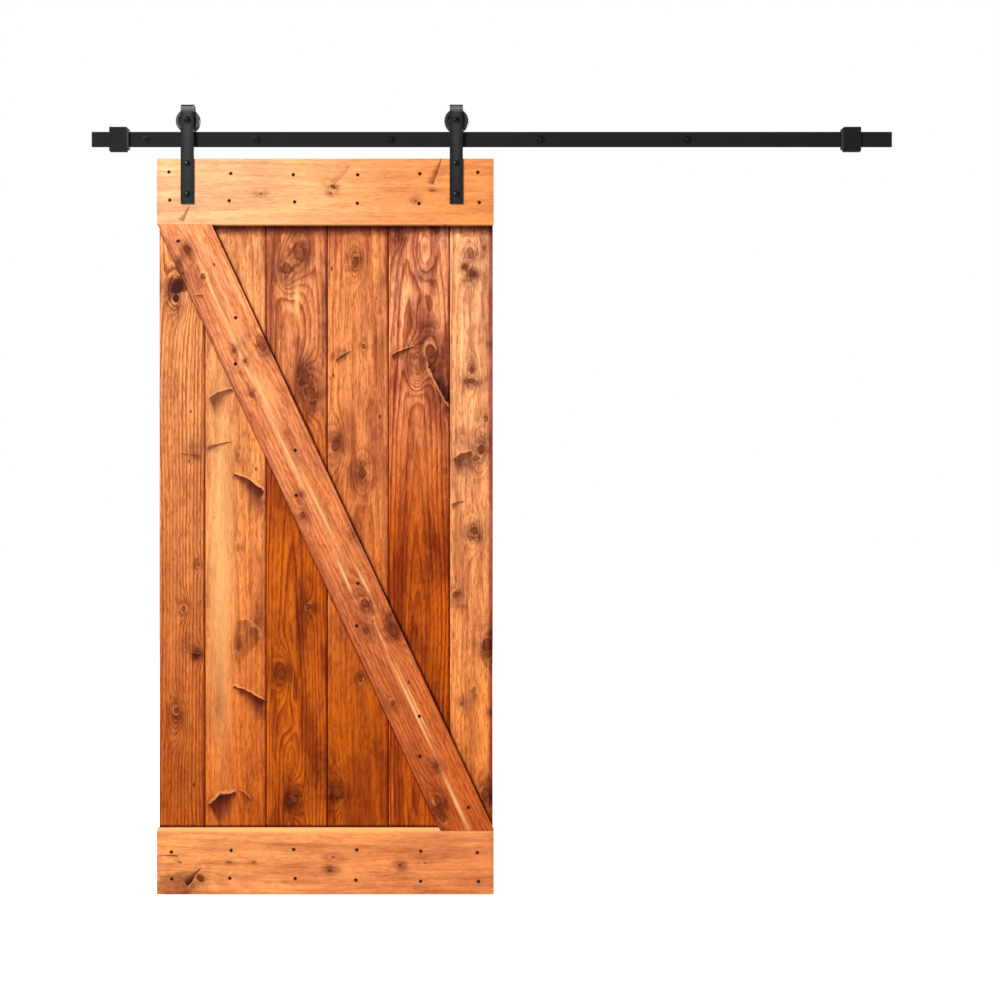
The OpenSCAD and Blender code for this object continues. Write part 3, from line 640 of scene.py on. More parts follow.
def pine(name, middle, turn, half_width, half_length, upper, lower, tree,
         heart, taper, ring, contrast, lined, stain, mottle=0.6, edge=0.9,
         fade=(-1.0, 1.0), knots=(), spikes=(), smokes=(), streaks=(), screws=(), corners=()):
    """Pine of one board. Knots are (across, along, size, stretch, tilt, depth, rings), spikes
    (across, along, length, drop, tilt, depth), dark smokes and pale streaks (across, along,
    size, stretch, depth), from the board's middle, across to its right and along up its
    grain."""
    material, t = new_material(name)
    world = t.add("TexCoord").outputs["Object"]
    board = t.add("Mapping", {"Vector": world, "Location": middle, "Rotation": (0, turn, 0)},
                  vector_type="TEXTURE").outputs[0]
    ragged = t.minus(t.noise(board, 60.0, 2.0), 0.5)
    place, nearest, so_far = bent_grain(t, board, ragged, knots, spikes)
    patchy = t.ramp(t.noise(place, 26.0, 3.0), 0.36, 0.54)
    knot = t.use(KNOT_MASKS, Nearest=nearest, Patchy=patchy, Ragged=ragged)
    hollow, ridge = t.split(so_far)[:2]
    rings = t.use(RINGS, Place=place, Heart_Across=heart[0], Heart_Depth=heart[1],
                  Taper=taper, Ring_Width=ring, Wander=0.03, Tree=tree,
                  Bulge=t.split(nearest)[2])
    fibres = t.use(FIBRES, Place=place, Tree=tree)
    edges = t.use(EDGES, Place=board, Half_Width=half_width, Half_Length=half_length)

    up = t.ramp(t.split(board)[2], fade[0] * half_length, fade[1] * half_length)
    wood = t.blend(up, lower, upper)

    def tint(factor, by):
        return t.blend(factor, wood, t.blend(1.0, wood, by, "MULTIPLY"))

    streaky = t.times_plus(fibres["Streak"], 2.4, -0.95, clamp=True)
    wood = tint(t.times_plus(rings["Late Wood"], contrast,
                             t.times(streaky, 0.45 * min(1.0, 0.3 + mottle)), clamp=True),
                LATE_TINT)
    wood = tint(t.times(rings["Pale Line"], lined), PALE_TINT)
    wood = tint(t.times(t.ramp(fibres["Mottle"], 0.46, 0.64), mottle), LATE_TINT)
    wood = tint(t.times(t.ramp(fibres["Stain"], 0.45, 0.62), stain), STAIN_TINT)
    wood = tint(t.ramp(fibres["Stain"], 0.48, 0.34), LIGHT_TINT)
    wood = t.blend(t.times(t.ramp(fibres["Fine"], 0.40, 0.70), FIBRE_SHARE), wood,
                   FIBRE_SHADOW)
    wood = tint(fibres["Pin Knots"], KNOT_TINT)
    # Pale sapwood streaks, and on the rails a painted highlight along the lit edge
    wood = t.blend(t.times(soft_patches(t, place, streaks), SAPWOOD_AND_HIGHLIGHT_SHARE), wood, SAPWOOD_AND_EDGE_HIGHLIGHT)
    wood = tint(t.times(soft_patches(t, place, smokes),
                        t.ramp(t.noise(place, 55.0, 3.0), 0.3, 0.6, 0.35, 1.0)), SMOKE_TINT)
    wood = tint(knot["Shade"], KNOT_TINT)
    wood = t.blend(t.times(knot["Halo"], HALO_SHARE), wood, RIDGE)
    heartwood = t.blend(knot["Eye"], KNOT_CORE, KNOT_RIM)
    wood = t.blend(t.times(knot["Core"], CORE_SHARE), wood, heartwood)
    wood = t.blend(t.times(knot["Rim"], RIM_SHARE), wood, KNOT_RIM)
    # The spike knots' dark wood, with painted shade in their hollows
    wood = tint(hollow, HOLLOW_SHADE_TINT)
    wood = t.blend(t.times(ridge, RIDGE_SHARE), wood, RIDGE)
    # Painted shade along the shaded edge and the ends, partly stain; painted highlight along the
    # lit edge
    wood = tint(t.times(edges["Dark"], edge), EDGE_STAIN_AND_SHADE_TINT)
    wood = tint(t.times(edges["Lit Edge"], LIT_EDGE_SHARE * edge), LIT_EDGE_TINT)
    if screws:
        wood = tint(screw_stains(t, world, screws), KNOT_TINT)
    # Painted shade in the corners beside the brace and the rails, widest under the top rail
    if corners:
        wood = tint(corner_painted_shade(t, world, board, ragged, corners), CORNER_SHADE_TINT)

    # How far each mark stands out of the wood, or sinks into it
    relief = t.times(fibres["Fine"], 0.35)
    for mark, rise in ((rings["Late Wood"], 0.45), (fibres["Streak"], 0.5),
                       (fibres["Pores"], -0.12), (knot["Core"], 0.9), (knot["Rim"], -0.8),
                       (hollow, -1.2), (ridge, 0.4)):
        relief = t.times_plus(mark, rise, relief)
    normal = t.bumped(0.7, 0.8 * MM, relief)
    rough = t.times_plus(fibres["Streak"], 0.25, 0.48)
    rough = t.times_plus(rings["Late Wood"], -0.10, rough)
    t.finish(wood, rough, normal, Specular_IOR_Level=0.07)
    return material


# ---------- metal, nylon and rubber ----------

def powder_coat(t, source):
    """Orange peel of a powder coat, its slow unevenness, fine dust and small rubbed marks"""
    place = source["Vector"]
    return {"Peel": t.noise(place, 850.0, 2.0), "Uneven": t.noise(place, 22.0, 4.0, 0.6),
            "Dust": t.ramp(t.noise(place, 420.0, 4.0, 0.7), 0.55, 0.75),
            "Rubbed": t.ramp(t.noise(place, 75.0, 5.0, 0.75), 0.64, 0.72)}


def tool_marks(t, source):
    """Fine turning or drawing marks and small stains on bare metal or plastic"""
    along = t.stretched(source["Vector"], 1.0, 14.0, 1.0)
    return {"Marks": t.noise(along, 260.0, 3.0, 0.65),
            "Stains": t.noise(source["Vector"], 140.0, 4.0, 0.6)}


COAT = node_group("powder coat", ["Vector"], [], powder_coat)
TOOL_MARKS = node_group("tool marks", ["Vector"], [], tool_marks)
DUST, RUBBED_EDGE = paint(120, 116, 110), paint(96, 96, 98)
# Painted sheen down the middle of the straps and painted highlight below their bend
STRAP_MIDDLE_SHEEN, STRAP_BEND_HIGHLIGHT = paint(66, 68, 70), paint(104, 104, 104)


def coated_steel(name, colour, bright, roughness, shine, bend=None, middles=()):
    """Black powder coat over steel, a little brighter where it is rubbed and, on the straps, with
    a painted highlight below the bend and a painted sheen down the middle"""
    material, t = new_material(name)
    place = t.add("TexCoord").outputs["Object"]
    coat = t.use(COAT, Vector=place)
    shade = t.blend(t.ramp(coat["Uneven"], 0.3, 0.7), colour, bright)
    shade = t.blend(t.times(coat["Dust"], 0.03), shade, DUST)
    shade = t.blend(t.times(coat["Rubbed"], 0.12), shade, RUBBED_EDGE)
    if bend:
        parts = t.split(place)
        x, height = parts[0], parts[2]
        away = 1.0
        for middle in middles:
            away = t.math("MINIMUM", away, t.math("ABSOLUTE", t.minus(x, middle)))
        # Painted sheen down the middle of each strap, stronger towards the bend
        lit_band = t.times(t.fall(away, 2 * MM, 16 * MM),
                       t.ramp(height, bend - 0.26, bend - 0.03, 0.15, 0.45))
        shade = t.blend(lit_band, shade, STRAP_MIDDLE_SHEEN)
        # Painted highlight in a band just below the bend
        bend_highlight = t.times(t.ramp(height, bend - 19 * MM, bend - 4 * MM, 0.0, 0.9),
                        t.fall(height, bend, bend + 2 * MM))
        shade = t.blend(bend_highlight, shade, STRAP_BEND_HIGHLIGHT)
    rough = t.times_plus(coat["Uneven"], 0.08, roughness - 0.04)
    rough = t.plus(rough, t.times(coat["Dust"], 0.08))
    t.finish(shade, rough, t.bumped(0.3, 0.1 * MM, coat["Peel"]), Specular_IOR_Level=shine)
    return material


def bare_finish(name, colour, stained, roughness, metallic, bump_height=0.05 * MM):
    """Zinc plate, ground steel, turned nylon or rubber, with its own marks and stains"""
    material, t = new_material(name)
    marks = t.use(TOOL_MARKS, Vector=t.add("TexCoord").outputs["Object"])
    shade = t.blend(t.ramp(marks["Stains"], 0.35, 0.75), colour, stained)
    rough = t.times_plus(marks["Marks"], 0.2, roughness - 0.1)
    t.finish(shade, rough, t.bumped(0.5, bump_height, marks["Marks"]), Metallic=metallic)
    return material


TRACK_COAT = coated_steel("track coat", paint(24, 24, 24), paint(27, 27, 27), 0.62, 0.08)
STRAP_COAT = coated_steel("strap coat", paint(23, 23, 23), paint(28, 28, 28), 0.46, 0.10,
                          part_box("left_strap")[1].z - 8 * MM,
                          [middle_of(side + "_strap").x for side in HANGERS])
BLACK_BOLTS = coated_steel("black bolts", paint(4, 4, 4), paint(8, 8, 8), 0.26, 0.24)
ZINC = bare_finish("zinc plate", paint(168, 170, 174), paint(132, 133, 136), 0.34, 1.0)
BEARING_STEEL = bare_finish("bearing steel", paint(186, 188, 190), paint(150, 151, 154), 0.22, 1.0)
NYLON = bare_finish("turned nylon", paint(14, 14, 15), paint(22, 22, 23), 0.42, 0.0)
RUBBER = bare_finish("rubber", paint(24, 24, 24), paint(38, 38, 39), 0.72, 0.0, 0.15 * MM)


def dress(piece, material, body, slot, *nodes):
    """Gives a finished piece its material and its body, and hides the CAD nodes it stands for. The
    slot is not used.
    """
    piece.data.materials.clear()
    piece.data.materials.append(material)
    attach(piece, body)
    if nodes:
        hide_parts(*nodes)
    return piece


def finish_node(node, material):
    """A CAD node whose shape stays, in its own material"""
    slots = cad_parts[node].data.materials
    slots.clear()
    slots.append(material)


# ---------- boards ----------

def screw_places(node):
    """Middles of the screw heads of a node, on the front of the door"""
    heads = []
    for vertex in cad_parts[node].data.vertices:
        if vertex.co.y > front_y + 0.5 * MM:
            continue
        for head in heads:
            if (head[0] - vertex.co).length < 3 * SCREW_HEAD_R:
                head.append(vertex.co)
                break
        else:
            heads.append([vertex.co])
    middles = [sum(head, Vector()) / len(head) for head in heads]
    return [Vector((m.x, front_y, m.z)) for m in middles]


def countersink(piece, places):
    """Sinks a screw hole at each place"""
    tools = []
    for place in places:
        start = place - Vector((0, 0.5 * MM, 0))
        tools.append(rod("countersink", place, COUNTERSINK, SCREW_HEAD_R, SCREW_SHANK_R, 24))
        tools.append(rod("pilot", start, 20 * MM, SCREW_SHANK_R, sides=16))
    for tool in tools:
        combine(piece, tool)


def drill(piece, place, length, radius):
    combine(piece, rod("drill", place, length, radius, sides=32))


def plank(k):
    """A plank with its front edges eased, a tongue to its right and a groove to its left"""
    node = PLANKS[k]
    low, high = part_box(node)
    has_groove, has_tongue = k > 0, k < len(PLANKS) - 1
    right = high.x - (TONGUE_L if has_tongue else 0)
    piece = block(node + "_board", low, (right, high.y, high.z))
    mid = (low.y + high.y) / 2
    ease(piece, lambda c, along: near(c.y, low.y) and near(abs(along.z), 1),
         PLANK_BEVEL, segments=3, profile=0.35)
    if has_tongue:
        for y in (mid - TONGUE_T / 2, mid + TONGUE_T / 2):
            slice_across(piece, (0, y, 0), (0, 1, 0))
        push(piece, lambda c, n: n.x > 0.9 and abs(c.y - mid) < TONGUE_T / 2, (TONGUE_L, 0, 0))
    if has_groove:
        half = TONGUE_T / 2 + TONGUE_GAP
        for y in (mid - half, mid + half):
            slice_across(piece, (0, y, 0), (0, 1, 0))
        push(piece, lambda c, n: n.x < -0.9 and abs(c.y - mid) < half and near(c.x, low.x),
             (TONGUE_L + TONGUE_GAP, 0, 0))
    for side in HANGERS:
        x = middle_of(side + "_hanger_bolts").x
        if low.x < x < right:
            for z in hanger_bolt_heights(side):
                drill(piece, (x, panel_y - MM, z), back_y - panel_y + 2 * MM, BOLT_HOLE_R)
    smooth(piece)
    return piece


def rail(node, top_bevel):
    """A plain board with its own bevel along the front of its upper edge"""
    low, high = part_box(node)
    piece = block(node + "_board", low, high)
    ease(piece, lambda c, along: near(c.y, low.y) and near(c.z, high.z), top_bevel,
         segments=1 if top_bevel > 2 * BOARD_EASE else 3)
    ease(piece, lambda c, along: near(c.y, low.y) and near(c.z, low.z), BOARD_EASE, segments=3)
    ease_all(piece, 0.6 * MM, segments=2)
    return piece


def brace(tilt, rail_piece):
    """A straight board sawn off at the rails and the planks, and scribed over the bevel"""
    low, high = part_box("brace")
    middle = Vector((door_middle.x, (low.y + high.y) / 2, door_middle.z))
    half = Vector((BRACE_W / 2, (high.y - low.y) / 2, door_top - door_foot))
    piece = block("brace_board", middle - half, middle + half, turn=-tilt)
    ease(piece, lambda c, along: near(c.y, low.y) and abs(along.z) > 0.5, BOARD_EASE,
         segments=3)
    trims = [(low, (-1, 0, 0)), (low, (0, 0, -1)), (high, (1, 0, 0)), (high, (0, 0, 1))]
    for place, normal in trims:
        edit(piece)
        bpy.ops.mesh.bisect(plane_co=place, plane_no=normal, use_fill=True, clear_outer=True)
        deselect()
    combine(piece, copy_of(rail_piece, "scribe", (0, 0, 0)))
    return piece


def hanger_bolt_heights(side):
    """Heights of a hanger's two bolts: their heads touch the ends of the bolts' box"""
    low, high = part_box(side + "_hanger_bolts")
    head_r = (high.x - low.x) / 2
    return [high.z - head_r, low.z + head_r]


def build_boards():
    """The bare boards by node, drilled and countersunk"""
    pieces = {node: plank(k) for k, node in enumerate(PLANKS)}
    pieces["bottom_rail"] = rail("bottom_rail", RAIL_WEATHER)
    pieces["top_rail"] = rail("top_rail", BOARD_EASE)
    pieces["brace"] = brace(BRACE_TILT, pieces["bottom_rail"])
    for side in HANGERS:
        x = middle_of(side + "_hanger_bolts").x
        for z in hanger_bolt_heights(side):
            drill(pieces["top_rail"], (x, front_y - MM, z), panel_y - front_y + 2 * MM,
                  BOLT_HOLE_R)
    for node in ("top_rail", "bottom_rail", "brace"):
        countersink(pieces[node], screw_places(node + "_screws"))
        smooth(pieces[node])
    return pieces


brace_run = door_right - door_left - 2 * BRACE_INSET
brace_rise = top_low.z - rail_high.z
BRACE_TILT = atan2(brace_run, brace_rise)
brace_across = Vector((cos(BRACE_TILT), 0, sin(BRACE_TILT)))
# Corners between the planks and the boards on them: a point, the way across the corner and
# how far its painted shade reaches
BOARD_CORNERS = [
    (door_middle + brace_across * BRACE_W / 2, brace_across, 5 * MM),
    (door_middle - brace_across * BRACE_W / 2, brace_across, 8 * MM),
    ((0, 0, top_low.z), (0, 0, 1), 38 * MM), ((0, 0, rail_high.z), (0, 0, 1), 9 * MM)]

# Each board: its colour at the upper and lower end of its grain, its place in the trunk, how
# strongly its grain and stains show, and its knots, spike knots, smokes and streaks as the
# pine takes them. A knot of no depth only bends the grain.
BOARDS = {
    "plank_1": dict(
        upper=paint(241, 164, 104), lower=paint(189, 92, 21), tree=1, heart=(0.09, 0.02),
        taper=0.03, ring=10 * MM, contrast=0.9, lined=0.8, stain=0.3,
        knots=[(0.043, -0.110, 0.004, 1.6, 0, 0.6, 2), (0.001, -0.236, 0.006, 1.3, 0, 0.9, 3),
               (0.044, -0.365, 0.005, 1.3, 60, 0.9, 2), (-0.020, -0.529, 0.006, 1.3, 0, 1.0, 4),
               (-0.021, 0.656, 0.008, 1.3, 0, 1.2, 2), (-0.016, 0.691, 0.013, 1.5, -20, 1.3, 5),
               (-0.020, -0.570, 0.010, 1.5, 0, 0.0, 4)],
        spikes=[(0.026, -0.364, 0.026, 0.004, -8, 0.8), (0.020, 0.210, 0.030, 0.012, -5, 0.5)],
        smokes=[(0.036, 0.218, 0.030, 1.0, 0.7), (-0.022, 0.680, 0.018, 2.0, 0.9),
                (0.012, -0.339, 0.040, 0.8, 0.5), (0.034, -0.377, 0.020, 0.6, 0.8),
                (-0.021, -0.552, 0.025, 1.2, 0.6), (0.006, -0.706, 0.030, 2.0, 0.4)]),
    "plank_2": dict(
        upper=paint(245, 168, 106), lower=paint(211, 105, 23), tree=2, heart=(-0.03, 0.06),
        taper=0.035, ring=13 * MM, contrast=0.45, lined=0.3, stain=0.6,
        knots=[(0.004, 0.205, 0.004, 2.0, 0, 0.5, 1), (0.004, -0.060, 0.004, 3.0, 0, 0.5, 1),
               (0.004, -0.345, 0.005, 3.0, 0, 0.6, 2)],
        spikes=[(-0.048, 0.386, -0.040, 0.030, 23, 0.9), (-0.049, 0.239, -0.040, 0.010, 12, 0.9),
                (0.038, 0.130, 0.055, 0.030, -30, 1.0), (0.038, -0.477, 0.054, 0.028, -26, 1.0),
                (-0.045, -0.775, -0.046, 0.045, 27, 1.0), (0.024, -0.769, 0.024, 0.015, -38, 0.6),
                (0.044, -0.288, 0.045, 0.060, -40, 0.5)],
        streaks=[(-0.047, -0.10, 0.035, 14.0, 0.6)],
        smokes=[(-0.065, 0.361, 0.030, 0.8, 0.7), (0.061, 0.070, 0.030, 1.2, 0.9),
                (-0.070, 0.226, 0.022, 0.5, 0.9), (0.061, -0.284, 0.035, 1.5, 0.8),
                (0.007, -0.350, 0.012, 4.0, 0.6), (0.078, -0.520, 0.027, 1.5, 0.9),
                (-0.056, -0.804, 0.040, 0.8, 0.8), (0.050, -0.706, 0.030, 3.0, 0.4),
                (-0.059, -0.508, 0.015, 3.0, 0.4)]),
    "plank_3": dict(
        upper=paint(230, 146, 95), lower=paint(195, 94, 10), tree=3, heart=(-0.02, 0.045),
        taper=0.045, ring=10 * MM, contrast=0.85, lined=0.6, stain=0.8, fade=(0.0, 0.65),
        knots=[(-0.035, 0.716, 0.005, 1.3, 0, 0.6, 1), (0.030, -0.232, 0.006, 1.3, 0, 1.0, 2),
               (0.022, 0.430, 0.009, 2.2, 0, 0.5, 2), (-0.009, -0.787, 0.010, 1.2, -30, 0.9, 5),
               (-0.032, 0.742, 0.012, 1.4, 15, 0.7, 4), (-0.047, -0.425, 0.012, 1.1, 0, 0.75, 5),
               (0.036, 0.384, 0.014, 1.3, 40, 0.6, 5), (0.003, 0.787, 0.017, 1.5, 20, 0.55, 5),
               (-0.026, -0.560, 0.012, 1.5, 0, 0.0, 3)],
        streaks=[(-0.003, 0.660, 0.006, 7.0, 0.9)],
        smokes=[(-0.036, 0.739, 0.028, 1.2, 0.8), (0.002, 0.785, 0.026, 1.3, 0.8),
                (0.019, 0.426, 0.035, 1.6, 0.9), (0.052, 0.366, 0.025, 1.2, 0.7),
                (-0.069, 0.750, 0.025, 2.5, 0.5), (0.074, 0.600, 0.020, 10.0, 0.6),
                (0.046, -0.235, 0.030, 0.8, 0.7), (-0.047, -0.420, 0.030, 1.2, 0.6),
                (-0.014, -0.788, 0.030, 1.2, 0.7), (0.063, -0.706, 0.030, 4.0, 0.5),
                (0.019, -0.295, 0.040, 2.0, 0.5)]),
    "plank_4": dict(
        upper=paint(230, 143, 85), lower=paint(191, 90, 4), tree=4, heart=(0.01, 0.055),
        taper=0.028, ring=13 * MM, contrast=0.5, lined=0.35, stain=0.7, fade=(-0.6, 0.5),
        knots=[(0.013, 0.518, 0.005, 1.4, 0, 0.8, 1), (0.004, -0.440, 0.005, 1.5, 0, 0.9, 2),
               (-0.011, 0.760, 0.009, 1.6, -15, 0.8, 4), (0.010, 0.153, 0.010, 1.2, 0, 0.95, 4),
               (-0.067, 0.233, 0.011, 1.5, -25, 0.7, 4), (-0.062, -0.765, 0.011, 1.5, 10, 0.8, 4)],
        spikes=[(-0.047, 0.494, -0.028, 0.010, 30, 0.9)],
        smokes=[(-0.010, 0.774, 0.020, 1.0, 0.8), (0.012, 0.175, 0.018, 1.0, 0.8),
                (-0.051, 0.493, 0.030, 0.6, 0.8), (0.015, 0.517, 0.012, 1.0, 0.7),
                (0.059, 0.630, 0.030, 3.0, 0.4), (0.042, 0.285, 0.030, 2.5, 0.4),
                (-0.067, 0.246, 0.020, 1.5, 0.7), (0.010, -0.437, 0.013, 1.2, 0.7),
                (-0.072, -0.771, 0.025, 1.2, 0.8), (0.035, -0.635, 0.030, 2.0, 0.4)]),
    "plank_5": dict(
        upper=paint(253, 172, 122), lower=paint(194, 89, 9), tree=5, heart=(-0.010, 0.035),
        taper=0.06, ring=11 * MM, contrast=0.9, lined=0.6, stain=0.9, fade=(-0.1, 0.85),
        knots=[(0.078, 0.337, 0.005, 1.3, 0, 1.0, 1), (-0.066, 0.842, 0.008, 1.3, 0, 0.8, 2),
               (0.028, 0.504, 0.012, 1.6, 0, 1.0, 4), (0.003, 0.600, 0.012, 1.6, 0, 0.0, 2),
               (0.012, 0.790, 0.015, 1.6, 0, 0.0, 4), (-0.010, 0.465, 0.011, 1.0, 0, 0.0, 8)],
        spikes=[(-0.049, 0.508, -0.040, 0.014, 20, 1.0), (0.049, 0.405, 0.080, -0.030, -62, 0.9)],
        smokes=[(0.022, 0.553, 0.028, 1.2, 0.9), (-0.017, 0.482, 0.040, 1.2, 0.7),
                (0.076, 0.394, 0.040, 1.4, 0.9), (0.070, 0.476, 0.030, 1.5, 0.7),
                (0.011, 0.717, 0.035, 1.2, 0.7), (-0.050, 0.835, 0.020, 1.0, 0.8),
                (-0.066, 0.684, 0.012, 5.0, 0.6), (0.076, 0.821, 0.025, 2.0, 0.6),
                (-0.006, 0.613, 0.040, 1.5, 0.4), (0.076, 0.137, 0.020, 5.0, 0.5),
                (0.014, -0.114, 0.050, 2.0, 0.5), (0.037, -0.476, 0.040, 2.0, 0.4)]),
    "plank_6": dict(
        upper=paint(253, 185, 132), lower=paint(232, 135, 57), tree=6, heart=(0.03, 0.05),
        taper=0.02, ring=12 * MM, contrast=0.5, lined=0.4, stain=0.5,
        knots=[(0.036, 0.800, 0.004, 1.3, 0, 0.7, 1), (-0.029, -0.511, 0.004, 1.5, 0, 0.7, 1),
               (0.008, -0.468, 0.005, 1.5, 0, 0.7, 1), (-0.019, 0.749, 0.006, 1.3, 0, 0.9, 2),
               (0.002, 0.448, 0.006, 1.5, 0, 0.9, 4), (0.042, 0.310, 0.006, 1.5, 0, 0.8, 1),
               (-0.046, -0.196, 0.006, 1.4, 0, 0.8, 2), (0.001, 0.729, 0.007, 1.3, 30, 0.9, 2),
               (-0.002, 0.787, 0.009, 1.6, 0, 0.6, 4), (0.001, 0.420, 0.009, 0.7, 0, 0.8, 1),
               (0.028, 0.222, 0.009, 1.2, 0, 1.0, 5), (0.008, -0.013, 0.009, 1.1, 0, 0.9, 4),
               (0.015, 0.196, 0.010, 0.7, 20, 0.7, 1), (0.040, -0.769, 0.010, 1.6, 0, 0.9, 3),
               (0.045, -0.340, 0.011, 1.6, 0, 0.8, 3)],
        spikes=[(-0.024, 0.209, -0.034, 0.028, 18, 0.8), (-0.041, 0.070, -0.020, 0.012, 20, 0.8)],
        smokes=[(0.001, 0.780, 0.020, 1.0, 0.8), (0.007, 0.725, 0.022, 0.7, 0.9),
                (0.004, 0.413, 0.035, 0.6, 0.9), (-0.015, 0.747, 0.012, 1.0, 0.8),
                (0.056, 0.525, 0.015, 1.5, 0.8), (0.037, 0.252, 0.025, 1.0, 0.8),
                (-0.028, 0.257, 0.030, 1.0, 0.6), (-0.017, 0.178, 0.045, 0.7, 0.9),
                (-0.045, 0.137, 0.012, 4.0, 0.5), (0.012, -0.032, 0.025, 0.6, 1.0),
                (-0.038, -0.193, 0.012, 2.0, 0.8), (-0.030, -0.230, 0.020, 0.4, 0.9),
                (0.052, -0.346, 0.030, 1.8, 1.0), (-0.021, -0.510, 0.020, 1.0, 0.7),
                (0.055, -0.533, 0.015, 1.0, 0.7), (0.047, -0.776, 0.030, 1.2, 0.8)]),
    "top_rail": dict(
        upper=paint(238, 148, 82), lower=paint(245, 185, 135), tree=7, heart=(0.03, 0.09),
        taper=0.012, ring=14 * MM, contrast=0.2, lined=0.15, stain=0.25, mottle=0.25, edge=0.1,
        knots=[(-0.003, 0.307, 0.002, 3.0, 0, 0.8, 0), (0.005, 0.016, 0.003, 1.5, 0, 0.8, 1),
               (0.006, -0.185, 0.003, 2.0, 0, 0.8, 1), (0.026, 0.259, 0.003, 1.2, 0, 0.9, 1),
               (-0.013, 0.022, 0.004, 2.0, -40, 1.0, 1)],
        spikes=[(0.065, -0.396, 0.026, 0.010, -22, 0.7), (-0.044, 0.051, 0.038, 0.016, -41, 0.35),
                (-0.056, 0.323, 0.042, 0.012, -18, 0.75)],
        smokes=[(-0.012, 0.022, 0.016, 1.2, 0.5), (0.020, 0.262, 0.014, 1.2, 0.5),
                (-0.050, 0.323, 0.020, 1.5, 0.4)],
        # The pale streak along the lower edge is a painted highlight on its eased edge
        streaks=[(0.094, 0.0, 0.005, 250.0, 0.4)]),
    "bottom_rail": dict(
        upper=paint(229, 139, 82), lower=paint(253, 169, 100), tree=8, heart=(-0.02, 0.08),
        taper=0.015, ring=14 * MM, contrast=0.3, lined=0.2, stain=0.4, mottle=0.3, edge=0.1,
        knots=[(0.002, -0.416, 0.003, 2.0, 0, 0.7, 0), (0.002, -0.276, 0.003, 2.0, 0, 0.6, 0),
               (0.002, -0.204, 0.003, 2.0, 0, 0.6, 0), (0.004, 0.286, 0.003, 2.0, 0, 0.6, 0),
               (0.010, 0.214, 0.004, 1.4, 0, 0.9, 1), (-0.012, 0.022, 0.004, 1.4, 0, 0.7, 1),
               (0.025, 0.014, 0.005, 1.4, 0, 0.7, 1), (0.048, -0.358, 0.007, 1.4, -45, 1.0, 2),
               (0.070, -0.430, 0.030, 1.8, 0, 0.4, 1)],
        spikes=[(-0.012, -0.450, 0.030, 0.004, 90, 0.9), (0.053, -0.373, 0.030, 0.010, -44, 1.0)],
        smokes=[(0.066, -0.400, 0.030, 1.8, 0.8), (0.020, 0.014, 0.014, 1.5, 0.6),
                (0.020, 0.220, 0.012, 1.5, 0.5)],
        # The pale streak along the upper edge is a painted highlight on its bevel
        streaks=[(-0.091, 0.0, 0.007, 200.0, 0.9)]),
    "brace": dict(
        upper=paint(248, 162, 107), lower=paint(199, 94, 33), tree=9, heart=(0.02, 0.04),
        taper=0.02, ring=10 * MM, contrast=0.45, lined=0.5, stain=0.4, edge=0.35,
        knots=[(-0.008, 0.527, 0.005, 1.3, 0, 0.8, 1), (-0.024, 0.566, 0.005, 1.3, 0, 0.8, 1),
               (-0.031, 0.430, 0.006, 1.4, 0, 0.8, 1), (-0.044, 0.057, 0.006, 1.4, 0, 0.8, 2),
               (-0.021, -0.321, 0.006, 1.4, 0, 0.8, 2), (-0.014, 0.798, 0.006, 1.4, 0, 0.8, 1),
               (-0.050, -0.900, 0.007, 1.6, 0, 0.7, 1), (-0.023, 0.887, 0.008, 1.3, 0, 1.0, 4),
               (-0.039, -0.847, 0.009, 1.4, 0, 0.9, 3), (0.010, -0.247, 0.010, 1.3, 20, 0.9, 4),
               (-0.037, -0.540, 0.005, 1.6, 0, 0.8, 2), (-0.004, -0.758, 0.006, 1.3, 0, 0.9, 3),
               (0.049, -0.355, 0.012, 1.2, 20, 0.8, 4), (0.055, 0.554, 0.012, 2.0, 0, 0.6, 1),
               (-0.066, 0.846, 0.012, 1.8, 0, 0.6, 1)],
        spikes=[(-0.048, 0.755, 0.014, 0.008, -20, 0.8)],
        streaks=[(-0.009, 0.760, 0.004, 45.0, 0.9), (-0.013, 0.560, 0.004, 30.0, 0.9),
                 (-0.004, 0.420, 0.007, 12.0, 0.9), (-0.009, 0.230, 0.004, 35.0, 0.8),
                 (0.006, 0.060, 0.005, 26.0, 0.8), (0.018, 0.700, 0.003, 60.0, 0.5),
                 (-0.010, -0.155, 0.004, 16.0, 0.9), (0.031, -0.190, 0.004, 14.0, 0.8),
                 (0.013, -0.340, 0.004, 10.0, 0.8), (0.008, -0.580, 0.004, 35.0, 0.9),
                 (0.018, -0.580, 0.003, 35.0, 0.7), (0.005, -0.870, 0.005, 18.0, 0.9)],
        smokes=[(-0.063, 0.865, 0.022, 1.0, 0.9), (0.060, 0.539, 0.028, 1.2, 0.9),
                (-0.045, 0.522, 0.020, 1.5, 0.5), (-0.031, 0.500, 0.009, 1.5, 0.9),
                (0.010, 0.575, 0.030, 0.6, 0.4), (-0.024, 0.113, 0.014, 1.2, 0.9),
                (0.064, -0.055, 0.022, 1.8, 0.8), (0.058, -0.322, 0.025, 1.2, 0.8),
                (0.010, -0.320, 0.020, 1.0, 0.4), (-0.037, -0.540, 0.012, 1.2, 0.6),
                (-0.045, -0.870, 0.025, 1.2, 0.6)]),
}


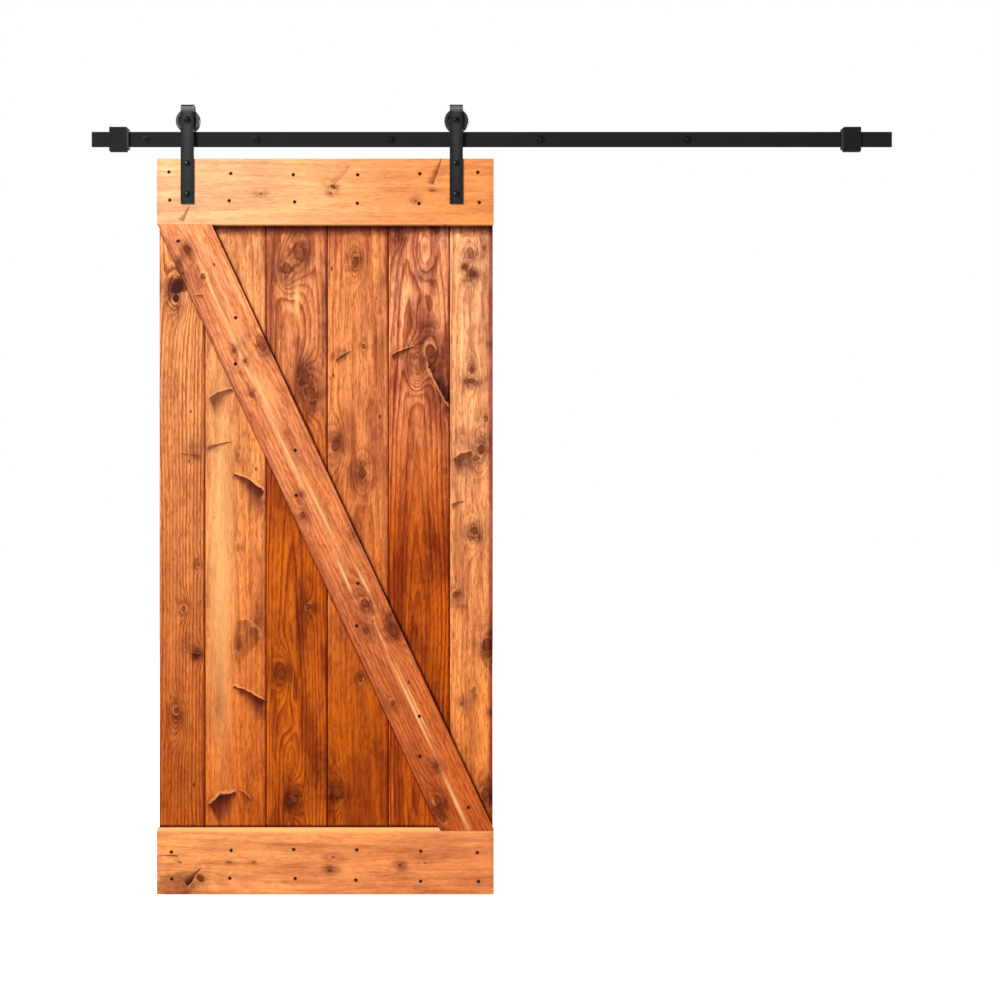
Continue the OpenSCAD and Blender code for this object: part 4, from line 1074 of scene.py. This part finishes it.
def paint_board(piece, node, screws):
    """Its own pine for one board, with the grain along it"""
    low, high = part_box(node)
    turn, half_width, half_length = 0.0, (high.x - low.x) / 2, (high.z - low.z) / 2
    middle = (low + high) / 2
    corners = BOARD_CORNERS if node in PLANKS else ()
    if node in ("top_rail", "bottom_rail"):
        turn, half_width, half_length = pi / 2, half_length, half_width
    if node == "brace":
        turn, half_width, half_length = -BRACE_TILT, -BRACE_W / 2, hypot(brace_run, brace_rise) / 2
        middle = Vector((door_middle.x, middle.y, door_middle.z))
        half_length += 2 * BRACE_W
    material = pine("pine " + node.replace("_", " "), middle, turn, half_width, half_length,
                    screws=screws, corners=corners, **BOARDS[node])
    dress(piece, material, "door", node, node)


boards = build_boards()
for node, piece in boards.items():
    has_screws = node + "_screws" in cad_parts
    paint_board(piece, node, screw_places(node + "_screws") if has_screws else [])


# ---------- track, stops and wall bolts ----------

def bolt_thread(name, start, length, radius, pitch):
    """A coarse thread ridge round the axis of the first wall bolt, closed at its ends"""
    height, half = 1.1 * MM, 0.8 * MM
    ridge = drawn(name, (radius - height, start, 0),
                  [(height, half, 0), (-height, half, 0), (0, -2 * half, 0)])
    bpy.ops.mesh.remove_doubles(threshold=0.01 * MM)
    deselect()
    only(ridge)
    screw = ridge.modifiers.new("thread", "SCREW")
    screw.axis, screw.angle = "Y", 2 * pi
    screw.screw_offset, screw.iterations = pitch, int(length / pitch)
    screw.steps = screw.render_steps = 20
    bpy.ops.object.modifier_apply(modifier=screw.name)
    edit(ridge, "EDGE")
    bpy.ops.mesh.fill_holes(sides=4)
    bpy.ops.mesh.select_all(action="SELECT")
    bpy.ops.mesh.normals_make_consistent(inside=False)
    deselect()
    return ridge


def socket_head(name, axis, seat, radius, height, shank_r, end, flats, point=0.0):
    """Button head with a hexagon socket, on a plain shank with a chamfered end"""
    outline = rounded([
        (0, seat - height, 0), (radius * 0.5, seat - height, radius * 0.12),
        (radius * 0.9, seat - height * 0.52, radius * 0.12), (radius, seat - height * 0.12, 0),
        (radius * 0.985, seat, 0), (shank_r, seat, 0), (shank_r, end - 0.8 * MM, 0),
        (shank_r - 0.8 * MM if point == 0 else shank_r, end, 0)])
    outline.append(Vector((0, end + point)))
    head = turned(name, outline, axis)
    socket = rod("socket", Vector(axis) + Vector((0, seat - height - MM, 0)),
                 MM + height * 0.65, flats / 3 ** 0.5, sides=6)
    combine(head, socket)
    smooth(head, 40)
    return head


def build_wall_bolts():
    low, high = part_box("wall_bolt_1")
    washer_t, head_h, shank_r, thread_r = 1.2 * MM, 4.2 * MM, 4 * MM, 3.5 * MM
    seat = track_low.y - washer_t
    first = socket_head("wall_bolt_1_shank", (0, 0, 0), seat, (high.x - low.x) / 2, head_h,
                        shank_r, 0.0, 5 * MM)
    core = turned("core", rounded([
        (0, -MM, 0), (thread_r - 1.0 * MM, -MM, 0), (thread_r - 1.0 * MM, high.y - 5 * MM, 0),
        (0.3 * MM, high.y, 0), (0, high.y, 0)]), (0, 0, 0), 24)
    ridge = bolt_thread("ridge", MM, high.y - 7 * MM, thread_r, 2.8 * MM)
    combine(core, ridge, "UNION")
    combine(first, core, "UNION")
    edit(first, "EDGE")
    bpy.ops.mesh.remove_doubles(threshold=0.02 * MM)
    bpy.ops.mesh.fill_holes(sides=8)
    deselect()
    smooth(first, 40)
    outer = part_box("wall_bolt_washers")[1].z
    washer = turned("wall_washer_1", rounded([
        (shank_r + 0.4 * MM, track_low.y, 0), (outer, track_low.y, 0),
        (outer, seat, 0.5 * MM), (shank_r + 0.4 * MM, seat, 0),
        (shank_r + 0.4 * MM, track_low.y, 0)]), (0, 0, 0))
    smooth(washer)
    bolts, washers = [first], [washer]
    for k, node in enumerate(WALL_BOLTS[1:], 2):
        step = (middle_of(node).x, 0, 0)
        bolts.append(copy_of(first, f"{node}_shank", step))
        washers.append(copy_of(washer, f"wall_washer_{k}", step))
    for piece, node in zip(bolts, WALL_BOLTS):
        dress(piece, BLACK_BOLTS, "track", "black_bolts", node)
    dress(join("wall_washers", washers), BLACK_BOLTS, "track", "black_bolts",
          "wall_bolt_washers")


def build_track():
    bar = block("track_bar", track_low, track_high)
    for node in WALL_BOLTS:
        drill(bar, (middle_of(node).x, track_low.y - MM, 0), 8 * MM, BOLT_HOLE_R)
    ease_all(bar, 0.8 * MM, segments=3)
    smooth(bar)
    dress(bar, TRACK_COAT, "track", "track_coat", "track")


def build_stop(side):
    name = side + "_stop_"
    low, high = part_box(name + "block")
    body = block(name + "body", low, high)
    gap = 0.2 * MM
    combine(body, block("slot", (low.x - MM, track_low.y, track_low.z - gap),
                        (high.x + MM, track_high.y, track_high.z + gap)))
    ease_all(body, 1.0 * MM, segments=3)
    smooth(body)
    dress(body, TRACK_COAT, "track", "track_coat", name + "block")
    plate = block(name + "plate", *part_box(name + "clamp"))
    screw_low, screw_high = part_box(name + "screws")
    head_r = (screw_high.x - screw_low.x) / 2
    x = (screw_low.x + screw_high.x) / 2
    for z in (screw_low.z + head_r, screw_high.z - head_r):
        drill(plate, (x, track_high.y - MM, z), 10 * MM, STOP_SCREW_HOLE_R)
    ease_all(plate, 0.8 * MM)
    smooth(plate)
    dress(plate, TRACK_COAT, "track", "track_coat", name + "clamp")
    low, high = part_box(name + "bumper")
    pad = block(name + "pad", low, high)
    ease(pad, lambda c, along: near(abs(along.x), 1), 4 * MM, segments=6)
    combine(pad, block("slot", (low.x - MM, track_low.y - gap, track_low.z - gap),
                       (high.x + MM, track_high.y + gap, track_high.z + gap)))
    ease_all(pad, 0.8 * MM, segments=3, angle=50)
    smooth(pad, 50)
    dress(pad, RUBBER, "track", "rubber", name + "bumper")


# ---------- hangers and wheels ----------

def build_strap(side):
    """A flat bar, bent over the wheel, with a round end behind it"""
    low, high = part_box(side + "_strap")
    axle = middle_of(side + "_wheel")
    half_width = (high.x - low.x) / 2
    bend_z, foot = high.z - (high.y - low.y) / 2, axle.z - half_width
    piece = block(side + "_strap_bar", low, (high.x, low.y + STRAP_T, bend_z))
    edit(piece, "FACE", lambda c, n: n.z > 0.9)
    bpy.ops.mesh.spin(steps=24, angle=pi, center=(axle.x, axle.y, bend_z), axis=(1, 0, 0))
    bpy.ops.mesh.extrude_region_move(
        TRANSFORM_OT_translate={"value": (0, 0, foot - bend_z)})
    deselect()
    ease(piece, lambda c, along: near(abs(along.y), 1) and near(c.z, foot),
         half_width - 0.2 * MM, segments=10)
    drill(piece, (axle.x, low.y - MM, axle.z), high.y - low.y + 2 * MM, AXLE_R + 0.02 * MM)
    neck = HANGER_BOLT_R + 0.05 * MM
    for z in hanger_bolt_heights(side):
        combine(piece, block("neck", (axle.x - neck, low.y - MM, z - neck),
                             (axle.x + neck, low.y + STRAP_T + MM, z + neck)))
    ease_all(piece, 0.7 * MM, segments=3)
    smooth(piece)
    dress(piece, STRAP_COAT, "door", "strap_coat", side + "_strap")


def build_hanger_bolts(side):
    """Domed bolts with a square neck and a threaded end behind the door"""
    low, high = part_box(side + "_hanger_bolts")
    head_r, head_h = (high.x - low.x) / 2, 4.5 * MM
    seat = low.y + head_h
    x = (low.x + high.x) / 2
    upper, lower = hanger_bolt_heights(side)
    outline = [Vector((head_r * sin(a), seat - 0.5 * MM - (head_h - 0.5 * MM) * cos(a)))
               for a in (k * pi / 16 for k in range(9))]
    outline += [Vector((head_r - 0.1 * MM, seat)), Vector((HANGER_BOLT_R, seat))]
    thread_start, pitch = back_y - 4 * MM, 1.25 * MM
    count = int((high.y - 0.6 * MM - thread_start) / pitch)
    for k in range(count):
        y = thread_start + k * pitch
        outline += [Vector((HANGER_BOLT_R, y)), Vector((HANGER_BOLT_R, y + pitch * 0.2)),
                    Vector((HANGER_BOLT_R - 0.7 * MM, y + pitch * 0.6))]
    outline += [Vector((HANGER_BOLT_R, thread_start + count * pitch)),
                Vector((HANGER_BOLT_R - 0.8 * MM, high.y)), Vector((0, high.y))]
    bolt = turned(side + "_upper_hanger_bolt", outline, (x, 0, upper))
    neck = block("neck", (x - HANGER_BOLT_R, seat - 0.2 * MM, upper - HANGER_BOLT_R),
                 (x + HANGER_BOLT_R, seat + 4.5 * MM, upper + HANGER_BOLT_R))
    combine(bolt, neck, "UNION")
    smooth(bolt, 40)
    bolts = [bolt, copy_of(bolt, side + "_lower_hanger_bolt", (0, 0, lower - upper))]
    dress(join(side + "_carriage_bolts", bolts), BLACK_BOLTS, "door", "black_bolts",
          side + "_hanger_bolts")


def build_axle(side):
    low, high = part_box(side + "_axle_bolt")
    axle = middle_of(side + "_wheel")
    head_h = 5 * MM
    head = socket_head(side + "_axle", (axle.x, 0, axle.z), low.y + head_h,
                       (high.x - low.x) / 2, head_h, AXLE_R, high.y, 6.2 * MM)
    dress(head, BLACK_BOLTS, "door", "black_bolts", side + "_axle_bolt")


def build_wheel(side):
    """Grooved wheel with a dished ring in each face"""
    low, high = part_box(side + "_wheel")
    rim, half = (high.x - low.x) / 2, (high.y - low.y) / 2
    root, groove, mouth = rim - 4 * MM, 3.5 * MM, 5 * MM
    dish, inner, hub = 5 * MM, rim - 9 * MM, 17 * MM
    seat, lip, seat_half = 13 * MM, 10.44 * MM, 4 * MM
    corners = [
        (lip, -half, 0.4 * MM), (hub, -half, 0.8 * MM), (hub, dish - half, 1.2 * MM),
        (inner, dish - half, 1.2 * MM), (inner, -half, 0.8 * MM), (rim, -half, 1.2 * MM),
        (rim, -mouth, 0.8 * MM), (root, -groove, 0.6 * MM), (root, groove, 0.6 * MM),
        (rim, mouth, 0.8 * MM), (rim, half, 1.2 * MM), (inner, half, 0.8 * MM),
        (inner, half - dish, 1.2 * MM), (hub, half - dish, 1.2 * MM), (hub, half, 0.8 * MM),
        (seat, half, 0.4 * MM), (seat, -seat_half, 0), (lip, -seat_half, 0)]
    outline = rounded(corners, 3)
    outline.append(outline[0])
    piece = turned(side + "_grooved_wheel", outline, middle_of(side + "_wheel"), 96)
    smooth(piece)
    dress(piece, NYLON, side + "_wheel", "wheel_nylon", side + "_wheel")


build_track()
build_wall_bolts()
for side in HANGERS:
    build_stop(side)
    build_strap(side)
    build_hanger_bolts(side)
    build_axle(side)
    build_wheel(side)

# ---------- CAD nodes that show as they are ----------

for k in range(1, 6):
    finish_node(f"standoff_{k}", TRACK_COAT)
for node in ("top_rail_screws", "bottom_rail_screws", "brace_screws"):
    finish_node(node, BLACK_BOLTS)
for side in HANGERS:
    finish_node(side + "_stop_screws", BLACK_BOLTS)
    for part in ("hanger_washers", "hanger_nuts", "axle_spacers", "axle_nut"):
        finish_node(f"{side}_{part}", ZINC)
    for part in ("bearing_inner", "bearing_outer", "bearing_balls", "bearing_shields"):
        finish_node(f"{side}_{part}", BEARING_STEEL)


# ---------- studio ----------

# How strongly the walls light the door, and the floor glows for the eye alone
AMBIENT, PAPER_GLOW = 0.36, 0.72
EYE, LENS, SENSOR = (1.013, -4.449, -1.035), 55.3, 36
LIT = (0.5, 0, -1.1)


def studio_paper():
    """Plain pale paper, lit a little more for the eye than for what stands on it"""
    material, t = new_material("studio paper")
    seen = t.add("LightPath").outputs["Is Camera Ray"]
    shader = t.add("BsdfPrincipled", {
        "Base Color": (0.8, 0.8, 0.8, 1.0), "Roughness": 0.9, "Specular IOR Level": 0.0,
        "Emission Color": (1.0, 1.0, 1.0, 1.0), "Emission Strength": t.times(seen, PAPER_GLOW)})
    t.put(t.add("OutputMaterial").inputs["Surface"], shader.outputs[0])
    return material


def build_floor():
    clear = 12 * MM
    deselect()
    bpy.ops.mesh.primitive_plane_add(size=60, location=(door_middle.x, 0, door_foot - clear))
    floor = settle("studio_floor")
    floor.data.materials.append(studio_paper())


def build_world():
    """White studio walls, which light the door less than they show"""
    world = bpy.data.worlds.new("studio")
    bpy.context.scene.world = world
    world.use_nodes = True
    world.node_tree.nodes.clear()
    t = Tree(world.node_tree)
    seen = t.add("LightPath").outputs["Is Camera Ray"]
    strength = t.times_plus(seen, 1.0 - AMBIENT, AMBIENT)
    background = t.add("Background", {"Color": (1, 1, 1, 1), "Strength": strength})
    t.put(t.add("OutputWorld").inputs["Surface"], background.outputs[0])


def softbox(name, place, width, height, power):
    """A rectangular lamp that faces the middle of the door"""
    deselect()
    aim = (Vector(LIT) - Vector(place)).to_track_quat("-Z", "Y").to_euler()
    bpy.ops.object.light_add(type="AREA", location=place, rotation=aim)
    lamp = bpy.context.object
    lamp.name = name
    lamp.data.shape = "RECTANGLE"
    lamp.data.size, lamp.data.size_y, lamp.data.energy = width, height, power


def build_camera():
    deselect()
    bpy.ops.object.camera_add(location=EYE, rotation=(pi / 2, 0, 0))
    camera = bpy.context.object
    camera.name = "studio_camera"
    camera.data.lens, camera.data.sensor_width = LENS, SENSOR
    bpy.context.scene.camera = camera


build_floor()
build_world()
softbox("key_light", (-5.0, -8.0, 4.6), 3.0, 2.2, 1300)
softbox("back_light", (3.5, 6.0, 1.2), 2.6, 2.0, 420)
build_camera()
bpy.context.scene.view_settings.view_transform = "Standard"
deselect()
